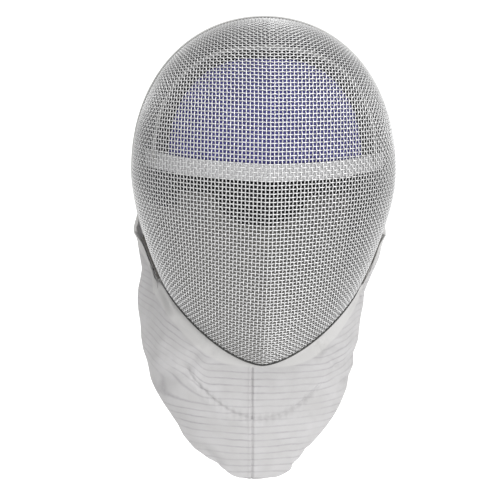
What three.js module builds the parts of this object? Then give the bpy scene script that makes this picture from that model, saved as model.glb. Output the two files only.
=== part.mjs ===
// A fencing mask: a domed guard of woven wire, its padded cloth bib, the lining
// that rests on the forehead, and the strap and pad behind the head.
// Millimetres, +Z up, the face looks towards -Y. The origin is where the top of
// the head sits under the crown.
import * as THREE from 'three';

// Wire dome
const DOME_HALF_WIDTH = 111;
const DOME_DEPTH = 117.6;
const RIDGE_DEPTH = 10.2;
const RIDGE_REACH = 83;
const CROWN_RISE = 131.1;
const CHIN_DROP = 178.5;
const MESH_THICKNESS = 2;
const HEAD_ROOM = 10.6;

// Jaw edge of the dome, and the rear edge above it
const EAR_TOP_DROP = 50;
const EAR_BOTTOM_DROP = 88;
const CHIN_TIP_DROP = 150;

// Binding and steel clips on the rear edge
const TRIM_PROUD = 2.2;
const TRIM_INSIDE = 2.4;
const TRIM_WIDTH = 7.5;
const CLIP_THICKNESS = 3.4;
const CLIP_WIDTH = 9;

// Bib
const BIB_THICKNESS = 3;
const BIB_HALF_WIDTH = 88.4;
const BIB_SIDE_DROP = 169.2;
const BIB_TIP_DROP = 244.7;
const BIB_TIP_REACH = 80;
const BIB_BACK_DROP = 192;
const BIB_BACK_REACH = 58;
const BIB_BACK_TOP_DROP = 26;
const BIB_LEAN = 7.7;
const BIB_FULLNESS = 3.3;
const FLAP_TUCK = 2;
const FLAP_CLEARANCE = 2.6;

// Lining and pads inside
const PAD_THICKNESS = 9;
const PAD_REACH_SHARE = 0.42;
const PAD_HALF_WIDTH = 80;
const PAD_TOP_RISE = 100;
const PAD_BASE_RISE = 15;
const BAND_HEIGHT = 13;
const BAND_THICKNESS = 4;
const BAND_OVERHANG = 6;
const FRAME_THICKNESS = 2.5;
const FRAME_INSET = 4;
const STRAP_HEIGHT = 16;
const STRAP_THICKNESS = 2;
const STRAP_TOP_DROP = 14;
const STRAP_END_RISE = 19;
const STRAP_CLEARANCE = 13;
const REAR_PAD_HALF_WIDTH = 48;
const REAR_PAD_DROP = 44;
const REAR_PAD_THICKNESS = 7;

const GAP = 0.4;

// Shape numbers of the pressed dome: how square its outline is at the sides, at
// the crown and at the chin, and how round its front is above and below the
// widest level
const SIDE_POWER = 1.79;
const CROWN_SIDE_POWER = 2.03;
const CROWN_POWER = 2.27;
const CHIN_POWER = 1.655;
const ROUND_ABOVE = 2.53;
const ROUND_BELOW = 2.14;
const BLEND_DROP_SHARE = 0.336;
const JAW_POWER = 1.25;

// Shape numbers of the soft parts: how flat the bib's hem is at its tip and how
// straight at its sides, how fast its top edge rises behind the flap, where the
// flap starts and ends as shares of the way round, how fast the bib leans, and
// how square the pads' edges are
const HEM_TIP_POWER = 1.95;
const HEM_SIDE_POWER = 1.05;
const BACK_TOP_POWER = 0.5;
const FLAP_FRONT_TURN = 0.43;
const FLAP_BACK_TURN = 0.54;
const LEAN_SPEED = 1.6;
const ARCH_SIDE_POWER = 0.8;
const ARCH_TOP_POWER = 0.9;
const PAD_EDGE_SHARE = 0.55;
const PAD_EDGE_POWER = 4;
const REAR_PAD_TAPER = 0.97;
const REAR_PAD_POWER = 2.6;

// How finely the faces are divided
const CROWN_STEPS = 36;
const JAW_STEPS = 10;
const DOME_RINGS = 14;
const FLAP_STEPS = 3;
const BACK_STEPS = 11;
const BIB_ROWS = 9;
const LINING_STEPS = 28;
const PAD_RINGS = 5;
const FRAME_RINGS = 3;
const REAR_PAD_ROWS = 6;
const REAR_PAD_COLUMNS = 12;

// Points nearer than one part of this many of a millimetre are one point
const POINTS_PER_MM = 500;
// Step of the differences that give the dome's normal
const SLOPE_STEP = 0.05;

// Height of the dome's widest level, from which all drops and rises are taken
const WIDEST_Z = HEAD_ROOM - CROWN_RISE;

const clamp01 = (t) => Math.min(1, Math.max(0, t));
const smooth = (t) => clamp01(t) ** 2 * (3 - 2 * clamp01(t));
const mix = (a, b, t) => a + (b - a) * t;

// How square the outline is across at a height; it is rounder at the crown
function sidePower(z) {
  return mix(SIDE_POWER, CROWN_SIDE_POWER, smooth((z - WIDEST_Z) / CROWN_RISE));
}

// Outline share at a point of the front view: 0 at the middle, 1 on the rear edge
function outlineShare(x, z) {
  const h = z - WIDEST_Z;
  const upright = h >= 0 ? (h / CROWN_RISE) ** CROWN_POWER : (-h / CHIN_DROP) ** CHIN_POWER;
  return (Math.abs(x) / DOME_HALF_WIDTH) ** sidePower(z) + upright;
}

// How round the front is at a height
function roundness(z) {
  return mix(ROUND_ABOVE, ROUND_BELOW, smooth((WIDEST_Z - z) / (CHIN_DROP * BLEND_DROP_SHARE)));
}

// How far the dome stands forward of its rear edge at a point of the front view
function domeReach(x, z) {
  const power = roundness(z);
  const rise = clamp01(1 - outlineShare(x, z)) ** (1 / power);
  const ridge = RIDGE_DEPTH * clamp01(1 - Math.abs(x) / RIDGE_REACH) ** 2;
  return (DOME_DEPTH + ridge) * rise;
}

// Half width of the rear edge at a height
function rimHalfWidth(z) {
  return DOME_HALF_WIDTH * clamp01(1 - outlineShare(0, z)) ** (1 / sidePower(z));
}

const EAR_TOP_Z = WIDEST_Z - EAR_TOP_DROP;
const EAR_BOTTOM_Z = WIDEST_Z - EAR_BOTTOM_DROP;
const CHIN_TIP_Z = WIDEST_Z - CHIN_TIP_DROP;
const EAR_HALF_WIDTH = rimHalfWidth(EAR_BOTTOM_Z);

// Rear edge from the right ear over the crown to the left ear, as front view
// points; `from` is the height where it starts and ends
function rimPoints(from, steps) {
  const low = -Math.asin(((WIDEST_Z - from) / CHIN_DROP) ** (CHIN_POWER / 2));
  const points = [];
  for (let i = 0; i <= steps; i += 1) {
    const a = mix(low, Math.PI - low, i / steps);
    const up = Math.sin(a);
    const h = up >= 0 ? CROWN_RISE * up ** (2 / CROWN_POWER) : -CHIN_DROP * (-up) ** (2 / CHIN_POWER);
    const z = WIDEST_Z + h;
    const x = Math.sign(Math.cos(a)) * DOME_HALF_WIDTH * Math.abs(Math.cos(a)) ** (2 / sidePower(z));
    points.push([x, z]);
  }
  return points;
}

// Jaw edge as a front view point: 0 at the chin tip, 1 at the right ear
function jawPoint(t) {
  return [EAR_HALF_WIDTH * t, mix(CHIN_TIP_Z, EAR_BOTTOM_Z, t ** JAW_POWER)];
}

// A closed solid between two grids of points with the same rows and columns.
// `wrap` joins the last column to the first
function solidBetween(outer, inner, wrap) {
  const rows = outer.length;
  const cols = outer[0].length;
  const spots = new Map();
  const positions = [];
  const faces = [];
  const spot = (p) => {
    const key = p.map((v) => Math.round(v * POINTS_PER_MM)).join(',');
    if (!spots.has(key)) {
      spots.set(key, positions.length / 3);
      positions.push(...p);
    }
    return spots.get(key);
  };
  const quad = (a, b, c, d) => {
    const [i, j, k, l] = [a, b, c, d].map(spot);
    for (const face of [[i, j, k], [i, k, l]]) {
      if (new Set(face).size === 3) faces.push(...face);
    }
  };
  const across = wrap ? cols : cols - 1;
  for (let r = 0; r < rows - 1; r += 1) {
    for (let c = 0; c < across; c += 1) {
      const n = (c + 1) % cols;
      quad(outer[r][c], outer[r][n], outer[r + 1][n], outer[r + 1][c]);
      quad(inner[r][c], inner[r + 1][c], inner[r + 1][n], inner[r][n]);
    }
    if (!wrap) {
      quad(outer[r][0], outer[r + 1][0], inner[r + 1][0], inner[r][0]);
      quad(outer[r][cols - 1], inner[r][cols - 1], inner[r + 1][cols - 1], outer[r + 1][cols - 1]);
    }
  }
  for (let c = 0; c < across; c += 1) {
    const n = (c + 1) % cols;
    quad(outer[0][c], inner[0][c], inner[0][n], outer[0][n]);
    quad(outer[rows - 1][c], outer[rows - 1][n], inner[rows - 1][n], inner[rows - 1][c]);
  }
  return facingOut(positions, faces);
}

// The same solid with its faces turned outwards if its volume comes out negative
function facingOut(positions, faces) {
  let volume = 0;
  const at = (i) => new THREE.Vector3(...positions.slice(3 * i, 3 * i + 3));
  for (let f = 0; f < faces.length; f += 3) {
    volume += at(faces[f]).dot(at(faces[f + 1]).cross(at(faces[f + 2])));
  }
  const turned = [];
  for (let f = 0; f < faces.length; f += 3) {
    const [a, b, c] = faces.slice(f, f + 3);
    turned.push(...(volume < 0 ? [a, c, b] : [a, b, c]));
  }
  const geometry = new THREE.BufferGeometry();
  geometry.setAttribute('position', new THREE.Float32BufferAttribute(positions, 3));
  geometry.setIndex(turned);
  geometry.computeVertexNormals();
  return geometry;
}

// A grid moved along its own normals, worked out from its neighbouring points
function offsetGrid(grid, distance, wrap) {
  const rows = grid.length;
  const cols = grid[0].length;
  const vec = (r, c) => new THREE.Vector3(...grid[r][c]);
  return grid.map((row, r) => row.map((point, c) => {
    const left = wrap ? (c + cols - 1) % cols : Math.max(c - 1, 0);
    const right = wrap ? (c + 1) % cols : Math.min(c + 1, cols - 1);
    const along = vec(r, right).sub(vec(r, left));
    const down = vec(Math.min(r + 1, rows - 1), c).sub(vec(Math.max(r - 1, 0), c));
    const normal = along.cross(down).normalize();
    return new THREE.Vector3(...point).addScaledVector(normal, distance).toArray();
  }));
}

// Unit normal of the dome, pointing out, at a front view point on or inside its rim
function domeNormal(x, z) {
  const share = (dx, dz) => outlineShare(x + dx, z + dz);
  const slope = (dx, dz) => (share(dx, dz) - share(-dx, -dz)) / (2 * SLOPE_STEP);
  const y = domeReach(x, z);
  const power = roundness(z);
  const nx = Math.abs(x) < SLOPE_STEP ? 0 : slope(SLOPE_STEP, 0);
  const nz = slope(0, SLOPE_STEP);
  const ny = -power * (y / DOME_DEPTH) ** (power - 1) / DOME_DEPTH;
  return new THREE.Vector3(nx, ny, nz).normalize();
}

// Outline of the wire dome in the front view, from the right ear over the crown
// to the left ear and back along the jaw
function domeOutline() {
  const outline = rimPoints(EAR_BOTTOM_Z, CROWN_STEPS);
  for (let i = 1; i < 2 * JAW_STEPS; i += 1) {
    const t = 1 - i / JAW_STEPS;
    const [x, z] = jawPoint(Math.abs(t));
    outline.push([-Math.sign(t) * x, z]);
  }
  return outline;
}

function faceMesh() {
  const outer = [];
  const inner = [];
  for (let r = 0; r <= DOME_RINGS; r += 1) {
    const share = Math.sin((r / DOME_RINGS) * Math.PI / 2);
    const outerRow = [];
    const innerRow = [];
    for (const [edgeX, edgeZ] of domeOutline()) {
      const x = edgeX * share;
      const z = mix(WIDEST_Z, edgeZ, share);
      const point = new THREE.Vector3(x, -domeReach(x, z), z);
      outerRow.push(point.toArray());
      innerRow.push(point.clone().addScaledVector(domeNormal(x, z), -MESH_THICKNESS).toArray());
    }
    outer.push(outerRow);
    inner.push(innerRow);
  }
  return solidBetween(outer, inner, true);
}

// Outward direction of the rear edge in the front view, at each point of a list
function outwardOf(points) {
  return points.map((point, i) => {
    const [ax, az] = points[Math.max(i - 1, 0)];
    const [bx, bz] = points[Math.min(i + 1, points.length - 1)];
    const length = Math.hypot(bx - ax, bz - az);
    return [(bz - az) / length, -(bx - ax) / length];
  });
}

// A bar of rectangular section behind the rear edge, along front view points
function rimBar(points, inside, proud, width) {
  const outward = outwardOf(points);
  const corners = [[proud, GAP], [proud, GAP + width], [-inside, GAP + width], [-inside, GAP]];
  const section = (side) => corners.map(([off, y]) => points.map(([x, z], i) => (
    [x + outward[i][0] * off, y, z + outward[i][1] * off]
  )))[side];
  const outer = [section(0), section(1)];
  const inner = [section(3), section(2)];
  return solidBetween(outer, inner, false);
}

function edgeTrim() {
  return rimBar(rimPoints(EAR_TOP_Z, CROWN_STEPS), TRIM_INSIDE, TRIM_PROUD, TRIM_WIDTH);
}

function steelClip(side) {
  const ends = [EAR_TOP_Z - GAP, EAR_BOTTOM_Z].map((z) => [side * rimHalfWidth(z), z]);
  const points = side > 0 ? [ends[1], ends[0]] : ends;
  return rimBar(points, CLIP_THICKNESS - TRIM_PROUD, TRIM_PROUD, CLIP_WIDTH);
}

// Right half of the bib's top edge and hem, from the front middle to the back
// middle; each entry holds both points of one column
function bibColumns() {
  const columns = [];
  const topAtEar = EAR_HALF_WIDTH + TRIM_PROUD + GAP + BIB_THICKNESS / 2;
  const topAtFlap = rimHalfWidth(EAR_TOP_Z) + TRIM_PROUD + FLAP_CLEARANCE + BIB_THICKNESS / 2;
  const flapY = CLIP_WIDTH / 2;
  const away = 1 + 2 * GAP / CHIN_TIP_DROP;
  for (let i = 0; i < JAW_STEPS; i += 1) {
    const [x, z] = jawPoint(i / JAW_STEPS);
    const edgeX = x * away;
    const edgeZ = mix(WIDEST_Z, z, away);
    const turn = FLAP_FRONT_TURN * (i / (JAW_STEPS + 1));
    columns.push({ turn, top: [edgeX, -domeReach(edgeX, edgeZ), edgeZ] });
  }
  for (let i = 0; i <= FLAP_STEPS; i += 1) {
    const t = i / FLAP_STEPS;
    const x = mix(topAtEar, topAtFlap, t);
    const z = mix(EAR_BOTTOM_Z - FLAP_TUCK, EAR_TOP_Z, t);
    columns.push({ turn: mix(FLAP_FRONT_TURN, FLAP_BACK_TURN, t), top: [x, mix(0, flapY, t), z] });
  }
  for (let i = 1; i <= BACK_STEPS; i += 1) {
    const a = (i / BACK_STEPS) * Math.PI / 2;
    const z = WIDEST_Z - mix(EAR_TOP_DROP, BIB_BACK_TOP_DROP, Math.sin(a) ** BACK_TOP_POWER);
    const y = mix(flapY, BIB_BACK_REACH, Math.sin(a));
    columns.push({ turn: mix(FLAP_BACK_TURN, 1, i / BACK_STEPS), top: [topAtFlap * Math.cos(a), y, z] });
  }
  for (const column of columns) {
    const a = column.turn * Math.PI;
    const x = BIB_HALF_WIDTH * Math.sin(a);
    const front = Math.cos(a) > 0;
    const y = front ? -BIB_TIP_REACH * Math.cos(a) : -BIB_BACK_REACH * Math.cos(a);
    const share = clamp01(1 - Math.sin(a) ** HEM_TIP_POWER) ** (1 / HEM_SIDE_POWER);
    const drop = mix(BIB_SIDE_DROP, front ? BIB_TIP_DROP : BIB_BACK_DROP, front ? share : Math.cos(a) ** 2);
    column.hem = [x, y, WIDEST_Z - drop];
  }
  return columns;
}

function bib() {
  const half = bibColumns();
  const mirrored = half.slice(1, -1).reverse().map(({ turn, top, hem }) => (
    { turn: 2 - turn, top: [-top[0], top[1], top[2]], hem: [-hem[0], hem[1], hem[2]] }
  ));
  const columns = [...half, ...mirrored];
  const grid = [];
  for (let r = 0; r <= BIB_ROWS; r += 1) {
    const v = r / BIB_ROWS;
    const out = BIB_FULLNESS * Math.sin(Math.PI * v);
    grid.push(columns.map(({ turn, top, hem }) => {
      const a = turn * Math.PI;
      const lean = -BIB_LEAN * smooth(v * LEAN_SPEED) * smooth(1 + Math.cos(a));
      return [
        mix(top[0], hem[0], v) + out * Math.sin(a) + lean,
        mix(top[1], hem[1], v) - out * Math.cos(a),
        mix(top[2], hem[2], v),
      ];
    }));
  }
  const outer = offsetGrid(grid, BIB_THICKNESS / 2, true);
  const inner = offsetGrid(grid, -BIB_THICKNESS / 2, true);
  return solidBetween(outer, inner, true);
}

// Lining surface inside the dome: a flatter copy of the dome's own form
function liningPoint(x, z, back) {
  return [x, -PAD_REACH_SHARE * domeReach(x, z) + back, z];
}

const PAD_BASE_Z = WIDEST_Z + PAD_BASE_RISE;
const PAD_TOP_Z = WIDEST_Z + PAD_TOP_RISE;

// Arch of the pad's edge in the front view, grown outwards by `off`
function padArch(off, steps) {
  const points = [];
  for (let i = 0; i <= steps; i += 1) {
    const a = (i / steps) * Math.PI;
    const x = (PAD_HALF_WIDTH + off) * Math.sign(Math.cos(a)) * Math.abs(Math.cos(a)) ** ARCH_SIDE_POWER;
    points.push([x, mix(PAD_BASE_Z, PAD_TOP_Z + off, Math.sin(a) ** ARCH_TOP_POWER)]);
  }
  return points;
}

// A sheet with an arched top edge and a straight foot
function archedSheet(arch, thickness, rings) {
  const front = [];
  const back = [];
  for (let r = 0; r <= rings; r += 1) {
    const share = r / rings;
    const row = arch.map(([x, z]) => [x * share, mix(PAD_BASE_Z, z, share)]);
    const swell = thickness * mix(PAD_EDGE_SHARE, 1, Math.sqrt(1 - share ** PAD_EDGE_POWER));
    front.push(row.map(([x, z]) => liningPoint(x, z, 0)));
    back.push(row.map(([x, z]) => liningPoint(x, z, swell)));
  }
  return solidBetween(front, back, false);
}

function foreheadPad() {
  return archedSheet(padArch(0, LINING_STEPS), PAD_THICKNESS, PAD_RINGS);
}

function foreheadBand() {
  const halfWidth = PAD_HALF_WIDTH + BAND_OVERHANG;
  const rows = [GAP, GAP + BAND_HEIGHT].map((drop) => {
    const row = [];
    for (let i = 0; i <= LINING_STEPS; i += 1) {
      const x = halfWidth * Math.sin(mix(-1, 1, i / LINING_STEPS) * Math.PI / 2);
      row.push([x, PAD_BASE_Z - drop]);
    }
    return row;
  });
  const front = rows.map((row) => row.map(([x, z]) => liningPoint(x, z, 0)));
  const back = rows.map((row) => row.map(([x, z]) => liningPoint(x, z, BAND_THICKNESS)));
  return solidBetween(front, back, false);
}

// Pale lining between the pad and the rear edge of the dome
function liningFrame() {
  const innerArch = padArch(2 * GAP, LINING_STEPS);
  const rim = rimPoints(WIDEST_Z, LINING_STEPS).map(([x, z]) => [x, Math.max(z, PAD_BASE_Z)]);
  const shrink = (v, size) => v * (1 - FRAME_INSET / size);
  const outerArch = rim.map(([x, z]) => [shrink(x, DOME_HALF_WIDTH), WIDEST_Z + shrink(z - WIDEST_Z, CROWN_RISE)]);
  const front = [];
  const back = [];
  for (let r = 0; r <= FRAME_RINGS; r += 1) {
    const share = Math.sin((r / FRAME_RINGS) * Math.PI / 2);
    const row = innerArch.map(([x, z], i) => [mix(x, outerArch[i][0], share), mix(z, outerArch[i][1], share)]);
    front.push(row.map(([x, z]) => liningPoint(x, z, 0)));
    back.push(row.map(([x, z]) => liningPoint(x, z, FRAME_THICKNESS)));
  }
  return solidBetween(front, back, false);
}

const STRAP_TOP_Z = WIDEST_Z - STRAP_TOP_DROP;
const STRAP_REACH = BIB_BACK_REACH - STRAP_CLEARANCE;

// Point on the strap's upper edge, from the right end (0) over the back to the
// left end (1); the strap falls from its ends to the back of the head
function strapPoint(t, inset) {
  const back = Math.sin(t * Math.PI);
  const z = STRAP_TOP_Z + STRAP_END_RISE * (1 - back);
  const halfWidth = rimHalfWidth(z - STRAP_HEIGHT) - inset;
  return [halfWidth * Math.cos(t * Math.PI), 2 * GAP + TRIM_WIDTH + (STRAP_REACH - inset) * back, z];
}

function rearStrap() {
  const grid = (inset) => [0, STRAP_HEIGHT].map((drop) => {
    const row = [];
    for (let i = 0; i <= LINING_STEPS; i += 1) {
      const [x, y, z] = strapPoint(i / LINING_STEPS, inset);
      row.push([x, y, z - drop]);
    }
    return row;
  });
  return solidBetween(grid(0), grid(STRAP_THICKNESS), false);
}

function rearPad() {
  const strapHalfWidth = strapPoint(0, 0)[0];
  const grid = (thickness) => {
    const list = [];
    for (let r = 0; r <= REAR_PAD_ROWS; r += 1) {
      const v = r / REAR_PAD_ROWS;
      const width = REAR_PAD_HALF_WIDTH * Math.sqrt(1 - REAR_PAD_TAPER * v ** REAR_PAD_POWER);
      const row = [];
      for (let c = 0; c <= REAR_PAD_COLUMNS; c += 1) {
        const across = (c / REAR_PAD_COLUMNS) * Math.PI;
        const turn = Math.acos((width / strapHalfWidth) * Math.cos(across)) / Math.PI;
        const swell = thickness * (1 + Math.sin(across)) / 2;
        const [x, y] = strapPoint(turn, STRAP_THICKNESS + GAP + swell);
        row.push([x, y, STRAP_TOP_Z - v * REAR_PAD_DROP]);
      }
      list.push(row);
    }
    return list;
  };
  return solidBetween(grid(0), grid(REAR_PAD_THICKNESS), false);
}

const wire = new THREE.MeshStandardMaterial({ color: 0xc9cacc, metalness: 0.9, roughness: 0.4 });
const steel = new THREE.MeshStandardMaterial({ color: 0x6e6864, metalness: 0.8, roughness: 0.45 });
const binding = new THREE.MeshStandardMaterial({ color: 0xdcdcda, roughness: 0.85 });
const cloth = new THREE.MeshStandardMaterial({ color: 0xd9d8da, roughness: 0.9 });
const blue = new THREE.MeshStandardMaterial({ color: 0x6a69a8, roughness: 0.9 });
const black = new THREE.MeshStandardMaterial({ color: 0x17161a, roughness: 0.85 });

const mask = new THREE.Group();

function add(name, geometry, material) {
  const mesh = new THREE.Mesh(geometry, material);
  mesh.name = name;
  mask.add(mesh);
}

add('face_mesh', faceMesh(), wire);
add('edge_trim', edgeTrim(), binding);
add('steel_clip_right', steelClip(1), steel);
add('steel_clip_left', steelClip(-1), steel);
add('bib', bib(), cloth);
add('forehead_pad', foreheadPad(), blue);
add('forehead_band', foreheadBand(), binding);
add('lining_frame', liningFrame(), cloth);
add('rear_strap', rearStrap(), black);
add('rear_pad', rearPad(), black);

export default mask;
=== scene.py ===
# %% [markdown]
# # A fencing mask
# The mask is a dome of woven steel wire, bound with tape round its rear edge and
# sewn to a padded cloth bib. Inside are a blue forehead pad, a white band below
# it, a lining whose near-black colour is painted shade, and a black strap and pad
# behind the head, whose near-black colour is partly painted shade. The imported solids
# give the main sizes and places. This lesson dresses them, one piece at a time,
# with the same formulas as the solids and a few steps read off the photograph.

# %% Load the frame
import math

import bpy
import numpy as np
from mathutils import Matrix, Vector


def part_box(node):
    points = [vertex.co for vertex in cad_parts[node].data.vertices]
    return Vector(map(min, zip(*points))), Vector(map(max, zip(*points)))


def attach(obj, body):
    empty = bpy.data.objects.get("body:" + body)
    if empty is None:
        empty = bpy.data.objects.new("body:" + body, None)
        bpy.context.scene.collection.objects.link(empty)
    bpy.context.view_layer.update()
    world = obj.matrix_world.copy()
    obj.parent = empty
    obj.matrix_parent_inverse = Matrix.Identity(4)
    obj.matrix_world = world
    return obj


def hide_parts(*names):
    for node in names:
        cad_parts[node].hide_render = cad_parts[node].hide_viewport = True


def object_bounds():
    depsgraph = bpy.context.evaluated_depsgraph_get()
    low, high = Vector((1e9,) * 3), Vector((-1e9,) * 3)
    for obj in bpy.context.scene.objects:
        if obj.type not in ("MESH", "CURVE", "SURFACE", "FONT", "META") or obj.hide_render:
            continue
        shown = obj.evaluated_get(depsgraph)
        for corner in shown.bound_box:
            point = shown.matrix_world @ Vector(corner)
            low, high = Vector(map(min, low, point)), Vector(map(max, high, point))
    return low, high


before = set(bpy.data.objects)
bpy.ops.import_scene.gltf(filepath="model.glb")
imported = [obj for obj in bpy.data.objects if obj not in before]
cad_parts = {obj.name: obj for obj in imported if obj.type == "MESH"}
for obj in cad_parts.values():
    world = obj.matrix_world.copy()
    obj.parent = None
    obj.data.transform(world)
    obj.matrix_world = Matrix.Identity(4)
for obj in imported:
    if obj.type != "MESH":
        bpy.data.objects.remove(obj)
cad_box = [list(corner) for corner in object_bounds()]
print("solids' box", cad_box)

# %% [markdown]
# ## Camera
# The photograph looks slightly down at the mask and a little from its own right.
# A camera could be turned by eye until the picture fits. Here it is worked out
# from three plain angles and a length instead: it stands at a known distance from
# one point of the dome's ridge, and that point has a known place in the picture.

# %% Place the camera
MM = 0.001
PICTURE = 500
FOCAL_PIXELS = 978.5
CAMERA_HEIGHT_ANGLE = math.radians(12.75)
CAMERA_SIDE_ANGLE = math.radians(-1.66)
CAMERA_ROLL = math.radians(0.98)
RIDGE_DISTANCE = 0.7187
RIDGE_PIXEL = (269.9, 186.0)

mesh_low, mesh_high = (np.array(corner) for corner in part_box("face_mesh"))
RIDGE_POINT_DROP = 0.12085
ridge_point = np.array([0.0, mesh_low[1], mesh_high[2] - RIDGE_POINT_DROP])

away = np.array([
    -math.sin(CAMERA_SIDE_ANGLE) * math.cos(CAMERA_HEIGHT_ANGLE),
    math.cos(CAMERA_SIDE_ANGLE) * math.cos(CAMERA_HEIGHT_ANGLE),
    -math.sin(CAMERA_HEIGHT_ANGLE),
])
level_right = np.cross(away, [0.0, 0.0, 1.0])
level_right /= np.linalg.norm(level_right)
level_up = np.cross(level_right, away)
camera_right = level_right * math.cos(CAMERA_ROLL) + level_up * math.sin(CAMERA_ROLL)
camera_up = level_up * math.cos(CAMERA_ROLL) - level_right * math.sin(CAMERA_ROLL)
metres_per_pixel = RIDGE_DISTANCE / FOCAL_PIXELS
camera_place = (
    ridge_point
    - away * RIDGE_DISTANCE
    - camera_right * (RIDGE_PIXEL[0] - PICTURE / 2) * metres_per_pixel
    + camera_up * (RIDGE_PIXEL[1] - PICTURE / 2) * metres_per_pixel
)

# %% [markdown]
# ## The camera itself
# Blender's camera looks along its own negative Z axis with Y upwards. Its lens is
# given in millimetres over a sensor 36 mm wide, so the focal length in pixels is
# turned into that. The three directions worked out above fill its matrix.

# %% Make the camera
SENSOR_WIDTH = 36
camera_data = bpy.data.cameras.new("camera")
camera_data.sensor_width = SENSOR_WIDTH
camera_data.lens = SENSOR_WIDTH * FOCAL_PIXELS / PICTURE
camera = bpy.data.objects.new("camera", camera_data)
bpy.context.scene.collection.objects.link(camera)
turn = Matrix.Identity(4)
for row in range(3):
    turn[row][0] = camera_right[row]
    turn[row][1] = camera_up[row]
    turn[row][2] = -away[row]
    turn[row][3] = camera_place[row]
camera.matrix_world = turn
bpy.context.scene.camera = camera
print("camera at", camera_place.round(3))

# %% [markdown]
# ## Helpers
# Every piece below is an array of points first and a Blender mesh last. One
# helper turns points and faces into an object; another turns a grid of points
# into faces. `foreach_set` fills a mesh in one step, which matters for the wires.

# %% Arrays into meshes
def make_object(name, points, faces, uv=None):
    """An object from points in metres and a list of face arrays, each of one face size."""
    mesh = bpy.data.meshes.new(name)
    corners = np.concatenate([block.ravel() for block in faces]).astype(np.int32)
    sizes = np.concatenate([np.full(len(block), block.shape[1]) for block in faces])
    starts = np.concatenate([[0], np.cumsum(sizes)[:-1]]).astype(np.int32)
    mesh.vertices.add(len(points))
    mesh.vertices.foreach_set("co", np.asarray(points, dtype=np.float32).ravel())
    mesh.loops.add(len(corners))
    mesh.loops.foreach_set("vertex_index", corners)
    mesh.polygons.add(len(sizes))
    mesh.polygons.foreach_set("loop_start", starts)
    mesh.polygons.foreach_set("use_smooth", np.ones(len(sizes), dtype=bool))
    if uv is not None:
        layer = mesh.uv_layers.new(name="cloth")
        layer.data.foreach_set("uv", uv[corners].astype(np.float32).ravel())
    mesh.update(calc_edges=True)
    mesh.validate()
    piece = bpy.data.objects.new(name, mesh)
    bpy.context.scene.collection.objects.link(piece)
    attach(piece, "root")
    return piece


def grid_faces(rows, columns, closed=False, first=0):
    """Quads between neighbours of a rows by columns grid; `closed` joins the last column to the first."""
    across = columns if closed else columns - 1
    r, c = np.meshgrid(np.arange(rows - 1), np.arange(across), indexing="ij")
    n = (c + 1) % columns
    quads = np.stack([r * columns + c, (r + 1) * columns + c, (r + 1) * columns + n, r * columns + n], -1)
    return quads.reshape(-1, 4) + first


# %% [markdown]
# ## Small sums used everywhere
# A soft step blends one form into another without a kink, and directions are
# kept one unit long. The number of triangles is printed for each piece, because
# a woven net uses them up quickly.

# %% Steps, directions and counts
def triangles(piece):
    """Number of triangles of a mesh, counted as corners less two per face."""
    return len(piece.data.loops) - 2 * len(piece.data.polygons)


def smooth(t):
    """The soft step: 0 below 0, 1 above 1, and 3t^2 - 2t^3 between."""
    t = np.clip(t, 0.0, 1.0)
    return t * t * (3 - 2 * t)


def unit(v):
    """Vectors divided by their own lengths."""
    return v / np.maximum(np.linalg.norm(v, axis=-1, keepdims=True), 1e-12)


# %% [markdown]
# ## The dome
# The guard is pressed from one flat sheet of woven wire, so its form is a
# smooth dome with a rounded ridge down the middle. A formula holds it better
# than a sculpted mesh, because the wires can then be laid on it exactly: each
# point has a share of the outline, 0 at the middle and 1 on the rear edge, and
# the dome's reach forward falls from full to nothing as that share grows.

# %% The dome's formula
HALF_WIDTH = 111.0
DEPTH = 117.6
RIDGE_DEPTH = 10.2
RIDGE_REACH = 83.0
CROWN_RISE = 131.1
CHIN_DROP = 178.5
SIDE_POWER = 1.79
CROWN_SIDE_POWER = 2.03
CROWN_POWER = 2.27
CHIN_POWER = 1.54
ROUND_ABOVE = 2.53
ROUND_BELOW = 2.14
BLEND_DROP = 0.336 * CHIN_DROP
WIDEST_Z = mesh_high[2] / MM - CROWN_RISE


def side_power(h):
    """Power of the outline across, blended from the widest level's to the crown's."""
    return SIDE_POWER + (CROWN_SIDE_POWER - SIDE_POWER) * smooth(h / CROWN_RISE)


def outline_share(x, h):
    """|x/half width|^p + |h/rise or drop|^q, with h the height above the widest level."""
    rise = np.clip(h, 0, None) / CROWN_RISE
    drop = np.clip(-h, 0, None) / CHIN_DROP
    return (np.abs(x) / HALF_WIDTH) ** side_power(h) + rise ** CROWN_POWER + drop ** CHIN_POWER


def rim_half_width(h):
    """Half width of the rear edge at a height: where the share reaches 1."""
    return HALF_WIDTH * np.clip(1 - outline_share(0.0, h), 0, 1) ** (1 / side_power(h))


print("rear edge", 2 * HALF_WIDTH, "mm wide and", CROWN_RISE + CHIN_DROP, "mm high before the jaw cuts it")

# %% [markdown]
# ## How far the dome stands forward
# The real dome is pressed deeper along its middle, where a ridge stiffens it.
# The reach forward is the dome's own depth plus that ridge. Read the other way
# round, the same formula is a number that is zero on the dome, and its slope
# gives the direction in which each wire is lifted.

# %% Reach and slope of the dome
def roundness(h):
    """Power of the front's curve, blended from the brow's to the chin's below the widest level."""
    return ROUND_ABOVE + (ROUND_BELOW - ROUND_ABOVE) * smooth(-h / BLEND_DROP)


def full_reach(x):
    """Depth of the dome plus the ridge, which fades as a square away from the middle."""
    return DEPTH + RIDGE_DEPTH * np.clip(1 - np.abs(x) / RIDGE_REACH, 0, 1) ** 2


def reach(x, h):
    """How far the dome stands forward of its rear edge: full reach times (1 - share)^(1/roundness)."""
    return full_reach(x) * np.clip(1 - outline_share(x, h), 0, 1) ** (1 / roundness(h))


def dome_value(p):
    """Zero on the dome, in millimetres about the widest level: share + (|y|/full reach)^roundness - 1."""
    x, y, h = p[..., 0], p[..., 1], p[..., 2]
    return outline_share(x, h) + (np.abs(y) / full_reach(x)) ** roundness(h) - 1


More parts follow.
